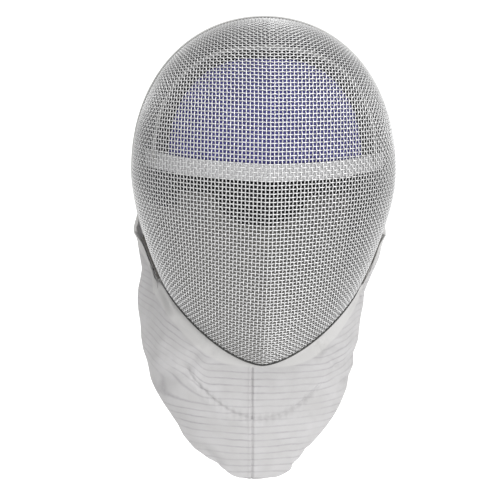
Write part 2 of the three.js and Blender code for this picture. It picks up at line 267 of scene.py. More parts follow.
def dome_slope(p):
    """Gradient of the dome's value by central differences."""
    step = 0.02
    slope = np.empty_like(p)
    for axis in range(3):
        d = np.zeros(3)
        d[axis] = step
        slope[..., axis] = (dome_value(p + d) - dome_value(p - d)) / (2 * step)
    return slope


def to_metres(p):
    """Millimetres about the dome's widest level into the frame's metres."""
    return (p + np.array([0.0, 0.0, WIDEST_Z])) * MM


print("dome's tip at y", to_metres(np.array([0.0, -reach(0.0, 0.0), 0.0])).round(4)[1], "m")


# %% [markdown]
# ## The woven net
# Woven wire keeps its pitch along every wire, whatever it is pressed over: only
# the angle between warp and weft changes. A texture of straight lines would
# stretch at the temples, where the real openings turn into narrow diamonds. So
# the crossings are found as a net of equal steps: each new crossing lies on the
# dome, one pitch from the crossing beside it and one pitch from the one below.
# Newton's method solves a whole diagonal of crossings at once.

# %% Crossings of the net
PITCH = 3.1
BASE_HEIGHT = 10.25


def arc_lengths(path):
    """Distance walked along a path up to each of its points."""
    return np.concatenate([[0], np.cumsum(np.linalg.norm(np.diff(path, axis=0), axis=1))])


def even_steps(curve):
    """Points one pitch apart along a fine polyline, measured along its length."""
    length = arc_lengths(curve)
    at = np.arange(int(length[-1] // PITCH) + 1) * PITCH
    return np.stack([np.interp(at, length, curve[:, axis]) for axis in range(3)], -1)


def ridge_line(end):
    """Crossings on the ridge from the base row to the crown or chin."""
    h = BASE_HEIGHT + (end - BASE_HEIGHT) * np.sin(np.linspace(0, math.pi / 2, 4000))
    return even_steps(np.stack([0 * h, -reach(0 * h, h), h], -1))


def base_row():
    """Crossings on the level row from the ridge to the right edge."""
    x = rim_half_width(BASE_HEIGHT) * np.sin(np.linspace(0, math.pi / 2, 6000))
    h = np.full_like(x, BASE_HEIGHT)
    return even_steps(np.stack([x, -reach(x, h), h], -1))


# %% [markdown]
# ## Solving the net
# One quarter of the net starts from the ridge and from one level row. The other
# crossings are unknown: each has three coordinates and has to meet three
# conditions, so Newton's method finds it in a few rounds. Crossings that run off
# the dome are thrown away, and the left half mirrors the right.

# %% Quarters of the net
def quarter_net(column, row):
    """Grid of crossings between a first column and a first row, solved diagonal by diagonal."""
    n, m = len(row), len(column)
    net = np.full((n, m, 3), np.nan)
    net[:, 0] = row
    net[0, :] = column
    good = np.zeros((n, m), dtype=bool)
    good[:, 0] = True
    good[0, :] = True
    for diagonal in range(2, n + m - 1):
        i = np.arange(max(1, diagonal - m + 1), min(n - 1, diagonal - 1) + 1)
        j = diagonal - i
        ready = good[i - 1, j] & good[i, j - 1] & good[i - 1, j - 1]
        i, j = i[ready], j[ready]
        if len(i) == 0:
            continue
        beside, below, corner = net[i - 1, j], net[i, j - 1], net[i - 1, j - 1]
        p = beside + below - corner
        for _ in range(12):
            wrong = np.stack([
                ((p - beside) ** 2).sum(-1) - PITCH ** 2,
                ((p - below) ** 2).sum(-1) - PITCH ** 2,
                dome_value(p),
            ], -1)
            slopes = np.stack([2 * (p - beside), 2 * (p - below), dome_slope(p)], -2)
            move = np.linalg.solve(slopes + 1e-9 * np.eye(3), wrong[..., None])[..., 0]
            size = np.linalg.norm(move, axis=-1, keepdims=True)
            p = p - np.where(size > 1, move / np.maximum(size, 1e-12), move)
        solved = (np.abs(wrong[:, 0]) < 0.05) & (np.abs(dome_value(p)) < 1e-3) & (p[:, 1] < 14)
        apart = ((p - corner) ** 2).sum(-1) > 0.25
        net[i, j] = p
        good[i, j] = solved & apart
    net[~good] = np.nan
    return net


with np.errstate(invalid="ignore"):
    upper = quarter_net(ridge_line(CROWN_RISE), base_row())
    lower = quarter_net(ridge_line(-CHIN_DROP), base_row())
half_net = np.concatenate([lower[:, :0:-1], upper], 1)
net = np.concatenate([half_net[:0:-1] * np.array([-1.0, 1.0, 1.0]), half_net], 0)
middle_warp = len(half_net) - 1
print("crossings", int(np.isfinite(net[..., 0]).sum()), "in a net of", net.shape[:2])

# %% [markdown]
# ## The wires
# Each wire is just under one millimetre thick and passes over one neighbour and
# under the next. A tube follows it with one ring of points at each crossing and
# one halfway: at a crossing the ring is lifted or sunk along the dome's normal by
# half a wire, with the sign of a chessboard, so warp and weft just touch. The
# wires are cut at the rear edge and along the jaw, where tape and bib cover
# their ends. Four pieces hold them: left and right warps, upper and lower wefts.

# %% Wires along the net
WIRE_RADIUS = 0.47
WIRE_SIDES = 6
REAR_EDGE = -0.2
EAR_TOP, EAR_BOTTOM = -53.0, -91.0
EAR_HALF_WIDTH = rim_half_width(EAR_BOTTOM)
CHIN_TIP = -149.7
JAW_POWER = 1.62


def jaw_height(x):
    """Height of the jaw edge in the front view: from the chin tip to the ear as |x|^power."""
    t = np.clip(np.abs(x) / EAR_HALF_WIDTH, 0, 1)
    return CHIN_TIP + (EAR_BOTTOM - CHIN_TIP) * t ** JAW_POWER


def inside(p):
    """Positive within the guard: the smaller of the distances to the rear edge and to the jaw."""
    return np.minimum(REAR_EDGE - p[..., 1], p[..., 2] - jaw_height(p[..., 0]))


def wire_runs(line, over):
    """Stretches of one wire inside the guard, each cut exactly at its edge by linear steps."""
    value = np.where(np.isfinite(line[:, 0]), inside(np.nan_to_num(line)), np.nan)
    keep = np.nan_to_num(value, nan=-1.0) > 0
    edges = np.flatnonzero(np.diff(np.concatenate([[0], keep.astype(int), [0]])))
    for start, stop in edges.reshape(-1, 2):
        points, lifts = line[start:stop], over[start:stop]
        for end, outer in ((0, start - 1), (-1, stop)):
            if 0 <= outer < len(line) and np.isfinite(line[outer, 0]):
                last = value[start if end == 0 else stop - 1]
                share = last / (last - value[outer])
                cut = points[end] + (line[outer] - points[end]) * share
                points = np.insert(points, 0 if end == 0 else len(points), cut, axis=0)
                lifts = np.insert(lifts, 0 if end == 0 else len(lifts), 0.0)
        if len(points) > 2:
            yield points, lifts


# %% [markdown]
# ## Round wires with painted shade on their inner side
# The side of each wire that faces into the mask gets painted shade: a nearly
# black colour stands for the shade on it. Each point of a ring keeps a number for
# that: 0 on the outer face of the wire and 1 on the inner one, with a soft step between.

# %% Rings and caps of a wire
# Where the painted shade starts and how fast it grows round each wire, by the cosine of the angle from its
# outer face.
SHADE_START, SHADE_SPAN = 0.85, 1.1


def wire_rings(points, lifts):
    """Rings of a round wire: at each crossing and halfway, lifted along the dome's normal."""
    fine = np.empty((2 * len(points) - 1, 3))
    fine[0::2] = points
    fine[1::2] = (points[:-1] + points[1:]) / 2
    lift = np.zeros(len(fine))
    lift[0::2] = lifts
    normal = unit(dome_slope(fine))
    path = fine + normal * (lift * WIRE_RADIUS)[:, None]
    along = unit(np.gradient(path, axis=0))
    side = unit(np.cross(along, normal))
    up = np.cross(side, along)
    turn = np.arange(WIRE_SIDES) / WIRE_SIDES * 2 * math.pi
    ring = np.cos(turn)[None, :, None] * up[:, None] + np.sin(turn)[None, :, None] * side[:, None]
    return path[:, None] + WIRE_RADIUS * ring


def weave(name, lines, lifts):
    """One object from many wires, with a flat cap on each end."""
    points, quads, caps, shade_share = [], [], [], []
    first = 0
    start = np.arange(WIRE_SIDES)
    # Share of painted shade round each ring: none on the outer face, full on the inner one.
    ring_shade = smooth((SHADE_START - np.cos(start / WIRE_SIDES * 2 * math.pi)) / SHADE_SPAN)
    for line, over in zip(lines, lifts):
        for run, lift in wire_runs(line, over):
            rings = wire_rings(run, lift)
            count = len(rings)
            points.append(rings.reshape(-1, 3))
            shade_share.append(np.tile(ring_shade, count))
            quads.append(grid_faces(count, WIRE_SIDES, closed=True, first=first)[:, ::-1])
            caps.append(start + first)
            caps.append(start[::-1] + first + (count - 1) * WIRE_SIDES)
            first += count * WIRE_SIDES
    faces = [np.concatenate(quads), np.array(caps)]
    piece = make_object(name, to_metres(np.concatenate(points)), faces)
    underside_shade = piece.data.attributes.new("underside_shade", "FLOAT", "POINT")
    underside_shade.data.foreach_set("value", np.concatenate(shade_share).astype(np.float32))
    print(name, "triangles", triangles(piece))
    return piece


# %% [markdown]
# ## Weaving
# Warps run up and down, wefts across. The sign of a chessboard says which of the
# two lies on top at each crossing, and it is turned round for the wefts.

# %% Warps and wefts
warp_count, weft_count = net.shape[:2]
chess = (np.arange(warp_count)[:, None] + np.arange(weft_count)[None, :]) % 2 * 2.0 - 1.0
base_weft = lower.shape[1] - 1
warps_left = weave("warp_wires_left", net[:middle_warp], chess[:middle_warp])
warps_right = weave("warp_wires_right", net[middle_warp:], chess[middle_warp:])
wefts = net.transpose(1, 0, 2)
wefts_low = weave("weft_wires_lower", wefts[:base_weft], -chess.T[:base_weft])
wefts_high = weave("weft_wires_upper", wefts[base_weft:], -chess.T[base_weft:])
wires = [warps_left, warps_right, wefts_low, wefts_high]
for piece in wires:
    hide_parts("face_mesh")

# %% [markdown]
# ## Steel
# Bare steel wire is bright where it is rubbed and duller in the crossings. A
# metallic shader with a fine noise in its roughness gives the broken glints. A
# second colour, nearly black, takes over where the wire's own number says so, on
# the side that faces into the mask: that is painted shade. That is why the openings read dark between bright
# wires.

# %% Steel materials
def new_material(name):
    """A material with its node tree and its main shader."""
    material = bpy.data.materials.new(name)
    material.use_nodes = True
    return material, material.node_tree, material.node_tree.nodes["Principled BSDF"]


def ramp_between(tree, source, low, high, start=0.3, end=0.7):
    """A colour ramp from one colour to another, driven by a number between start and end."""
    ramp = tree.nodes.new("ShaderNodeValToRGB")
    ramp.color_ramp.elements[0].position = start
    ramp.color_ramp.elements[0].color = (*low, 1)
    ramp.color_ramp.elements[1].position = end
    ramp.color_ramp.elements[1].color = (*high, 1)
    tree.links.new(source, ramp.inputs["Fac"])
    return ramp.outputs["Color"]


def noise_of(tree, scale):
    """Noise in the piece's own coordinates; scale is in waves per metre."""
    place = tree.nodes.new("ShaderNodeTexCoord")
    noise = tree.nodes.new("ShaderNodeTexNoise")
    noise.inputs["Scale"].default_value = scale
    noise.inputs["Detail"].default_value = 3.0
    tree.links.new(place.outputs["Object"], noise.inputs["Vector"])
    return noise.outputs["Fac"]


def number_of(tree, name):
    """The number that each point of a piece keeps under a name."""
    attribute = tree.nodes.new("ShaderNodeAttribute")
    attribute.attribute_name = name
    return attribute.outputs["Fac"]


def mix_colours(tree, share, first, second):
    """Blend of two colours by a share; each colour is a socket or three numbers."""
    node = tree.nodes.new("ShaderNodeMix")
    node.data_type = "RGBA"
    tree.links.new(share, node.inputs["Factor"])
    for name, value in (("A", first), ("B", second)):
        socket = [s for s in node.inputs if s.name == name and s.type == "RGBA"][0]
        if isinstance(value, tuple):
            socket.default_value = (*value, 1)
        else:
            tree.links.new(value, socket)
    return [s for s in node.outputs if s.type == "RGBA"][0]


def steel_material(name, low, high, rough_low, rough_high, grain, metallic, shade_colour=None):
    """Metal whose colour and roughness both follow one fine noise, with painted shade where the wire keeps
    its number.
    """
    material, tree, shader = new_material(name)
    noise = noise_of(tree, grain)
    colour = ramp_between(tree, noise, low, high)
    if shade_colour is not None:
        colour = mix_colours(tree, number_of(tree, "underside_shade"), colour, shade_colour)
    tree.links.new(colour, shader.inputs["Base Color"])
    rough = tree.nodes.new("ShaderNodeMapRange")
    rough.inputs["To Min"].default_value = rough_low
    rough.inputs["To Max"].default_value = rough_high
    tree.links.new(noise, rough.inputs["Value"])
    tree.links.new(rough.outputs["Result"], shader.inputs["Roughness"])
    shader.inputs["Metallic"].default_value = metallic
    return material


# The nearly black second colour is painted shade on the wires' inner sides.
wire_steel = steel_material(
    "wire_steel", low=(0.56, 0.56, 0.56), high=(0.78, 0.78, 0.78), rough_low=0.3, rough_high=0.5,
    grain=900, metallic=0.75, shade_colour=(0.012, 0.012, 0.012))
for piece in wires:
    piece.data.materials.append(wire_steel)
print("wires dressed in", wire_steel.name)

# %% [markdown]
# ## Closed tubes
# Tape, clips, pads and straps are all one kind of form: a closed outline carried
# along a path. One helper joins the outlines into a skin, closes its two ends
# (or joins them, for a ring), and turns the faces outwards if the volume they
# enclose comes out negative.

# %% Tubes from rings of points
def signed_volume(points, faces):
    """Sum of the tetrahedra from the origin to each face's fan of triangles, over six."""
    total = 0.0
    for block in faces:
        corner = points[block[:, 0]]
        for k in range(1, block.shape[1] - 1):
            across = np.cross(points[block[:, k]], points[block[:, k + 1]])
            total += np.einsum("ij,ij->i", corner, across).sum()
    return total / 6


def tube(name, rings, uv=None, joined=False):
    """A closed skin over rings (path steps, outline steps, 3) in millimetres about the widest level."""
    steps, around = rings.shape[:2]
    points = to_metres(rings.reshape(-1, 3))
    if joined:
        r, c = np.meshgrid(np.arange(steps), np.arange(around), indexing="ij")
        nr, nc = (r + 1) % steps, (c + 1) % around
        quads = np.stack([r * around + c, nr * around + c, nr * around + nc, r * around + nc], -1)
        faces = [quads.reshape(-1, 4)]
    else:
        ends = np.stack([np.arange(around), np.arange(around)[::-1] + (steps - 1) * around])
        faces = [grid_faces(steps, around, closed=True), ends]
    if signed_volume(points, faces) < 0:
        faces = [block[:, ::-1] for block in faces]
    piece = make_object(name, points, faces, None if uv is None else uv.reshape(-1, 2))
    print(name, "triangles", triangles(piece))
    return piece


# %% [markdown]
# ## Outlines for the tubes
# Flat strips have round corners, so their outline is a rectangle whose corners
# are quarter circles. A strip of cloth also needs its own lengths as a UV map,
# so that ribs keep their size whatever way the strip is bent.

# %% Outlines and lengths
def rounded_outline(half_a, half_b, radius, corner_steps=5):
    """A rectangle's outline with round corners, as pairs of offsets from its middle."""
    corner = np.linspace(0, math.pi / 2, corner_steps)
    pairs = []
    for k, (sa, sb) in enumerate([(1, 1), (-1, 1), (-1, -1), (1, -1)]):
        angle = corner + k * math.pi / 2
        pairs.append(np.stack([
            sa * (half_a - radius) + radius * np.cos(angle),
            sb * (half_b - radius) + radius * np.sin(angle),
        ], -1))
    return np.concatenate(pairs)


def length_uv(path, outline):
    """Metres walked along the path and round the outline, for every point of a carried outline."""
    lengths = (arc_lengths(path) * MM, arc_lengths(outline) * MM)
    return np.stack(np.meshgrid(*lengths, indexing="ij"), -1)


# %% [markdown]
# ## Binding tape
# A strip of tape is folded over the wire ends from ear to ear, so that they
# can't scratch. Seen from the front it is a thin pale line round the mesh. It
# could be a bevelled curve, but its section isn't round: it is a U whose outer
# leg reaches forward over the wires and whose inner leg is shorter.

# %% Path of the rear edge
def rear_edge(steps, low_height=EAR_TOP):
    """Points of the rear edge from the right ear over the crown to the left, by the outline's own angle."""
    low = -math.asin((-low_height / CHIN_DROP) ** (CHIN_POWER / 2))
    angle = np.linspace(low, math.pi - low, steps)
    up, across = np.sin(angle), np.cos(angle)
    rise = np.clip(up, 0, None) ** (2 / CROWN_POWER) * CROWN_RISE
    drop = np.clip(-up, 0, None) ** (2 / CHIN_POWER) * CHIN_DROP
    h = rise - drop
    x = np.sign(across) * HALF_WIDTH * np.abs(across) ** (2 / side_power(h))
    return np.stack([x, 0 * x, h], -1)


def outward_of(path):
    """Unit normals of a path in the front view, pointing away from its middle."""
    along = unit(np.gradient(path, axis=0))
    return np.stack([along[:, 2], 0 * along[:, 0], -along[:, 0]], -1)


def carried(path, side, lift, outline):
    """Rings of an outline's pairs of offsets, carried along a path on two directions."""
    return path[:, None] + side[:, None] * outline[None, :, :1] + lift[:, None] * outline[None, :, 1:]


# %% [markdown]
# ## Section of the tape
# The tape's outline is drawn once and carried along the rear edge. Offsets are
# taken outwards and backwards from the edge: down the outer leg, round the fold
# in half a circle, up the inner leg, and back inside. The outer leg ends in a
# thicker lip, where the cloth is turned under and stitched.

# %% Binding tape
TAPE_THICKNESS = 0.9
TAPE_PROUD = 2.3
TAPE_INSIDE = 2.4
TAPE_FRONT = -4.2
TAPE_LIP = -1.2
TAPE_LIP_INSIDE = 0.6
TAPE_BACK = 7.9

edge_path = rear_edge(480)
edge_out = outward_of(edge_path)
fold = np.linspace(0, math.pi, 11)
fold_radius = (TAPE_PROUD + TAPE_INSIDE) / 2
fold_middle = (TAPE_PROUD - TAPE_INSIDE) / 2
outer_fold = np.stack([
    fold_middle + fold_radius * np.cos(fold), TAPE_BACK - fold_radius + fold_radius * np.sin(fold),
], -1)
inner_fold = np.stack([
    fold_middle + (fold_radius - TAPE_THICKNESS) * np.cos(fold[::-1]),
    TAPE_BACK - fold_radius + (fold_radius - TAPE_THICKNESS) * np.sin(fold[::-1]),
], -1)
tape_outline = np.concatenate([
    [[TAPE_PROUD - 0.25, TAPE_FRONT], [TAPE_PROUD, TAPE_FRONT + 0.35]],
    outer_fold,
    [[-TAPE_INSIDE, TAPE_LIP], [-TAPE_INSIDE + TAPE_THICKNESS, TAPE_LIP]],
    inner_fold,
    [[TAPE_PROUD - TAPE_THICKNESS, TAPE_FRONT + 3.0], [TAPE_LIP_INSIDE, TAPE_FRONT + 2.0]],
    [[TAPE_LIP_INSIDE, TAPE_FRONT + 0.35], [TAPE_LIP_INSIDE + 0.3, TAPE_FRONT]],
])
back_axis = np.tile([0.0, 1.0, 0.0], (len(edge_path), 1))
tape_rings = carried(edge_path, edge_out, back_axis, tape_outline)
tape = tube("edge_tape", tape_rings, length_uv(edge_path, tape_outline))
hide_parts("edge_trim")

# %% [markdown]
# ## Steel clips
# Below the tape, at each ear, a flat steel strip is folded over the edge and
# fixed there. It could be a bevelled box, but it follows the slant of the rear edge,
# so it is an outline carried along that: a rectangle with round corners, whose
# ends are drawn in over the last millimetre, so that the edges catch a thin line
# of light.

# %% Strips of the clips
CLIP_INSIDE = 2.0
CLIP_OUTSIDE = 3.7
CLIP_FRONT = -9.0
CLIP_BACK = 9.4
CLIP_CORNER = 0.9
TAPE_GAP = 0.4


def clip_rings(side):
    """Rings from the ear's foot to its top; the outline shrinks as a quarter circle at both ends."""
    h = np.linspace(EAR_BOTTOM, EAR_TOP - TAPE_GAP, 60)
    foot = np.array([side * EAR_HALF_WIDTH, 0.0, EAR_BOTTOM])
    head = np.array([side * rim_half_width(EAR_TOP - TAPE_GAP), 0.0, EAR_TOP - TAPE_GAP])
    share = (h - EAR_BOTTOM) / (h[-1] - EAR_BOTTOM)
    length = np.linalg.norm(head - foot)
    near_end = np.minimum(share, 1 - share) * length
    shrink = CLIP_CORNER * (1 - np.sqrt(np.clip(1 - (1 - np.clip(near_end / CLIP_CORNER, 0, 1)) ** 2, 0, 1)))
    path = foot + (head - foot) * share[:, None]
    out = outward_of(path) * side
    outline = rounded_outline((CLIP_OUTSIDE + CLIP_INSIDE) / 2, (CLIP_BACK - CLIP_FRONT) / 2, CLIP_CORNER)
    middle = np.array([(CLIP_OUTSIDE - CLIP_INSIDE) / 2, (CLIP_BACK + CLIP_FRONT) / 2])
    size = 1 - shrink[:, None, None] / np.abs(outline).max(0)
    pairs = outline[None] * size + middle
    back = np.array([0.0, 1.0, 0.0])
    return path[:, None] + out[:, None] * pairs[..., :1] + back * pairs[..., 1:], out[0], foot, head


# %% [markdown]
# ## Rivets
# The photograph doesn't show what holds the strips, so two plain rivets are a
# guess. A rivet's head is a low dome, so its rings shrink while they rise, and
# it is sunk a little into the strip to leave no gap.

# %% Rivets and both clips
RIVET_RADIUS = 2.2
RIVET_RISE = 0.7
RIVET_SINK = 0.1
RIVET_FORWARD = 3.0
RIVET_SHARES = (0.2, 0.8)


def rivet(middle, out):
    """Rings of a low dome on a face: radius falls as a cosine while the height rises as a sine."""
    rise = np.linspace(0, math.pi / 2 - 0.02, 7)
    turn = np.linspace(0, 2 * math.pi, 20, endpoint=False)
    a, b = np.array([0.0, 1.0, 0.0]), np.cross(out, [0.0, 1.0, 0.0])
    flat = np.cos(turn)[:, None] * a + np.sin(turn)[:, None] * b
    rings = middle + flat[None] * (RIVET_RADIUS * np.cos(rise))[:, None, None]
    return rings + out * (RIVET_RISE * np.sin(rise))[:, None, None]


clips = []
for side, label in ((1, "right"), (-1, "left")):
    rings, out, foot, head = clip_rings(side)
    strip = tube(f"clip_strip_{label}", rings)
    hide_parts(f"steel_clip_{label}")
    clips.append(strip)
    for number, share in enumerate(RIVET_SHARES):
        spot = foot + (head - foot) * share + out * (CLIP_OUTSIDE - RIVET_SINK)
        spot -= np.array([0.0, RIVET_FORWARD, 0.0])
        clips.append(tube(f"clip_rivet_{label}_{number + 1}", rivet(spot, out)))

# %% [markdown]
# ## Dark cords over the wire ends, in painted shadow
# Along the jaw, and just inside the tape, a thin dark cord covers the cut ends
# of the wires. It stands for the fine dark line of shadow that parts the mesh
# from the cloth and the tape, so its near-black colour is painted shadow. A circle carried along the edge is
# enough for it.

# %% Cords along the jaw and the rear edge
JAW_CORD_RADIUS, JAW_CORD_RISE = 0.8, 0.9
EDGE_CORD_RADIUS, EDGE_CORD_OUT, EDGE_CORD_FORWARD = 0.55, 0.5, 4.9


def round_cord(name, path, radius, sides=8):
    """A circle of one radius carried along a path in space."""
    along = unit(np.gradient(path, axis=0))
    side = unit(np.cross(along, [0.0, 1.0, 0.0]))
    turn = np.linspace(0, 2 * math.pi, sides, endpoint=False)
    outline = radius * np.stack([np.cos(turn), np.sin(turn)], -1)
    return tube(name, carried(path, side, np.cross(side, along), outline))


across = np.linspace(-1, 1, 360)
jaw_x = EAR_HALF_WIDTH * across
jaw_h = jaw_height(jaw_x)
jaw_path = np.stack([jaw_x, -reach(jaw_x, jaw_h), jaw_h], -1)
jaw_path += unit(dome_slope(jaw_path)) * JAW_CORD_RISE
jaw_shadow_cord = round_cord("jaw_shadow_cord", jaw_path, JAW_CORD_RADIUS)
edge_cord_path = edge_path + edge_out * EDGE_CORD_OUT - np.array([0.0, EDGE_CORD_FORWARD, 0.0])
edge_shadow_cord = round_cord("edge_shadow_cord", edge_cord_path, EDGE_CORD_RADIUS)

# %% [markdown]
# ## The bib's skin
# The bib is quilted cloth round the neck, sewn to the jaw edge of the mesh. It
# is pinned at its top edge, so a cloth simulation would move little but take
# long; a formula gives the same form and keeps its seams sharp. One number goes
# round the bib, from the front middle to the back middle on each side, and the
# other goes down it, from the jaw seam to the hem.
#
# The top edge comes first. It follows the jaw, steps out over the clip as a flap,
# and runs behind the head, where it rises from the ears to lie under the strap.

# %% Top edge of the bib
SEAM_GAP = 0.4
FLAP_FRONT, FLAP_BACK = 0.43, 0.54
FLAP_TUCK = 2.0
FLAP_BEHIND = 4.5
BIB_THICKNESS = 3.0
BACK_REACH = 58.0
FLAP_CLEARANCE = 2.6
FLAP_OUT = CLIP_OUTSIDE + SEAM_GAP + BIB_THICKNESS / 2
STRAP_HEIGHT, STRAP_TOP, STRAP_END_RISE = 16.0, -11.4, 16.4
BACK_OVERLAP, BACK_RISE_ANGLE = 3.0, 0.34


def bib_top(turn):
    """The top edge: the jaw seam, then the flap outside the clip, then round the back of the head."""
    t = np.clip(turn / FLAP_FRONT, 0, 1)
    away = 1 + 2 * SEAM_GAP / -CHIN_TIP
    step_out = smooth((t - 0.8) / 0.2)
    jaw_x = EAR_HALF_WIDTH * t * away
    jaw_h = jaw_height(EAR_HALF_WIDTH * t) * away
    jaw = np.stack([
        jaw_x + FLAP_OUT * step_out,
        -reach(jaw_x, jaw_h) * (1 - step_out),
        jaw_h - FLAP_TUCK * step_out,
    ], -1)
    t = smooth((turn - FLAP_FRONT) / (FLAP_BACK - FLAP_FRONT))
    flap_x = rim_half_width(EAR_TOP) + TAPE_PROUD + FLAP_CLEARANCE + BIB_THICKNESS / 2
    start = np.array([EAR_HALF_WIDTH * away + FLAP_OUT, 0.0, EAR_BOTTOM * away - FLAP_TUCK])
    end = np.array([flap_x, FLAP_BEHIND, EAR_TOP])
    flap = start + (end - start) * t[:, None]
    q = np.clip((turn - FLAP_BACK) / (1 - FLAP_BACK), 0, 1) * math.pi / 2
    behind_strap = STRAP_TOP + STRAP_END_RISE * (1 - np.sin(q)) - STRAP_HEIGHT + BACK_OVERLAP
    back = np.stack([
        flap_x * np.cos(q),
        FLAP_BEHIND + (BACK_REACH - FLAP_BEHIND) * np.sin(q),
        EAR_TOP + (behind_strap - EAR_TOP) * smooth(q / BACK_RISE_ANGLE),
    ], -1)
    part = turn[:, None]
    return np.where(part < FLAP_FRONT, jaw, np.where(part < FLAP_BACK, flap, back))


# %% [markdown]
# ## Hem of the bib
# The hem hangs lowest in front, in a blunt tip, and is cut level at the sides.
# Seen from above it is an oval round the neck. Its drop in front could be a
# circle, but the real tip is flatter, so two powers set how blunt it is.

# %% Hem of the bib
BIB_HALF_WIDTH = 88.4
SIDE_DROP, TIP_DROP, BACK_DROP = 169.2, 244.7, 192.0
TIP_REACH = 80.0
HEM_TIP_POWER, HEM_SIDE_POWER = 1.95, 1.05


def bib_hem(turn):
    """The hem: an oval round the neck, lowest in front, its drop 1 - sin^p of the angle."""
    angle = turn * math.pi
    front = np.cos(angle) > 0
    share = np.clip(1 - np.sin(angle) ** HEM_TIP_POWER, 0, 1) ** (1 / HEM_SIDE_POWER)
    front_drop = SIDE_DROP + (TIP_DROP - SIDE_DROP) * share
    back_drop = SIDE_DROP + (BACK_DROP - SIDE_DROP) * np.cos(angle) ** 2
    drop = np.where(front, front_drop, back_drop)
    y = np.where(front, -TIP_REACH, -BACK_REACH) * np.cos(angle)
    return np.stack([BIB_HALF_WIDTH * np.sin(angle), y, -drop], -1)


def width_at(h):
    """Half width of the bib at a height: full above the hem's sides, then the hem's own oval."""
    share = np.clip((-SIDE_DROP - h) / (TIP_DROP - SIDE_DROP), 0, 0.99)
    return BIB_HALF_WIDTH * (1 - share ** HEM_SIDE_POWER) ** (1 / HEM_TIP_POWER)


# %% [markdown]
# ## Sides as they were bent in use
# The sides bulge and draw in where the cloth was bent. A sculpted mesh could hold
# that, but a short table is easier to change: it gives a step outwards from the
# plain form, in millimetres, at a few heights above the widest level, for the
# left and the right of the photograph.

# %% Side profile
SIDE_PROFILE = [
    {"h": -26, "left": 0.0, "right": -1.0},
    {"h": -41, "left": 2.4, "right": 0.6},
    {"h": -50, "left": 4.2, "right": 1.6},
    {"h": -61, "left": 1.2, "right": -0.6},
    {"h": -74, "left": -1.4, "right": -1.3},
    {"h": -86, "left": -3.8, "right": -3.6},
    {"h": -96, "left": -2.6, "right": -4.5},
    {"h": -104, "left": -1.0, "right": -4.6},
    {"h": -115, "left": 0.3, "right": -1.8},
    {"h": -137, "left": 2.5, "right": -0.2},
    {"h": -146, "left": 3.8, "right": 1.0},
    {"h": -156, "left": 3.9, "right": -1.6},
    {"h": -166, "left": 2.4, "right": 0.0},
    {"h": -174, "left": 1.2, "right": -2.0},
    {"h": -182, "left": 1.4, "right": 0.6},
    {"h": -197, "left": -0.4, "right": -0.4},
    {"h": -207, "left": 0.2, "right": -1.3},
    {"h": -214, "left": 2.2, "right": -2.4},
    {"h": -223, "left": 2.5, "right": -5.2},
    {"h": -230, "left": 0.2, "right": -3.0},
    {"h": -234, "left": -2.6, "right": -3.0},
    {"h": -238, "left": -1.6, "right": 2.2},
    {"h": -243, "left": 3.0, "right": 4.5},
]


def side_step(h, side):
    """Step outwards at each height, between the rows of the profile, on one side."""
    heights = [row["h"] for row in SIDE_PROFILE]
    steps = [row[side] for row in SIDE_PROFILE]
    return np.interp(h, heights[::-1], steps[::-1])


def side_move(p, v, sign):
    """Outward step of the cloth's sides; full at the sides, none in the middle or at the clip's own seam."""
    h = p[..., 2]
    step = np.where(sign < 0, side_step(h, "left"), side_step(h, "right"))
    at_side = smooth((np.abs(p[..., 0]) / width_at(h) - 0.35) / 0.5)
    free = np.maximum(smooth(v / 0.1), smooth((h + 72) / 16))
    return step * at_side * free


# %% [markdown]
# ## Middle of the cloth
# Now the skin itself: a straight line from the top edge to the hem at each turn,
# filled out between them, stepped at the sides, and leant a little to one side,
# as the mask hangs in the photograph.

# %% Middle of the cloth
FULLNESS = 3.3
LEAN, LEAN_SPEED = 7.7, 1.6
TIP_KICK = 3.0


def bib_middle(turns, down):
    """Middle of the cloth: straight from top to hem, filled out, stepped at its sides and leant."""
    turn, sign = np.abs(turns), np.where(turns < 0, -1.0, 1.0)
    top, hem = bib_top(turn), bib_hem(turn)
    angle = turn * math.pi
    v = down[:, None]
    p = top[None] + (hem - top)[None] * v[..., None]
    full = FULLNESS * np.sin(math.pi * v)
    p[..., 0] += full * np.sin(angle)
    p[..., 1] -= full * np.cos(angle)
    p[..., 0] += side_move(p, v, sign)
    p[..., 0] *= sign
    p[..., 0] -= LEAN * smooth(v * LEAN_SPEED) * smooth(1 + np.cos(angle))
    p[..., 0] += TIP_KICK * smooth((v - 0.8) / 0.2) * smooth(1.3 - angle)
    return p


# %% [markdown]
# ## Seams and creases of the bib
# The cloth shows one upright seam in the middle, a smile-shaped row of stitches
# across the chest, and a few soft creases where it is bent round the chin. Each
# is a groove of a given depth and width, with a little swelling beside it. The
# creases stand in a short table, and all depths are added up at every point.

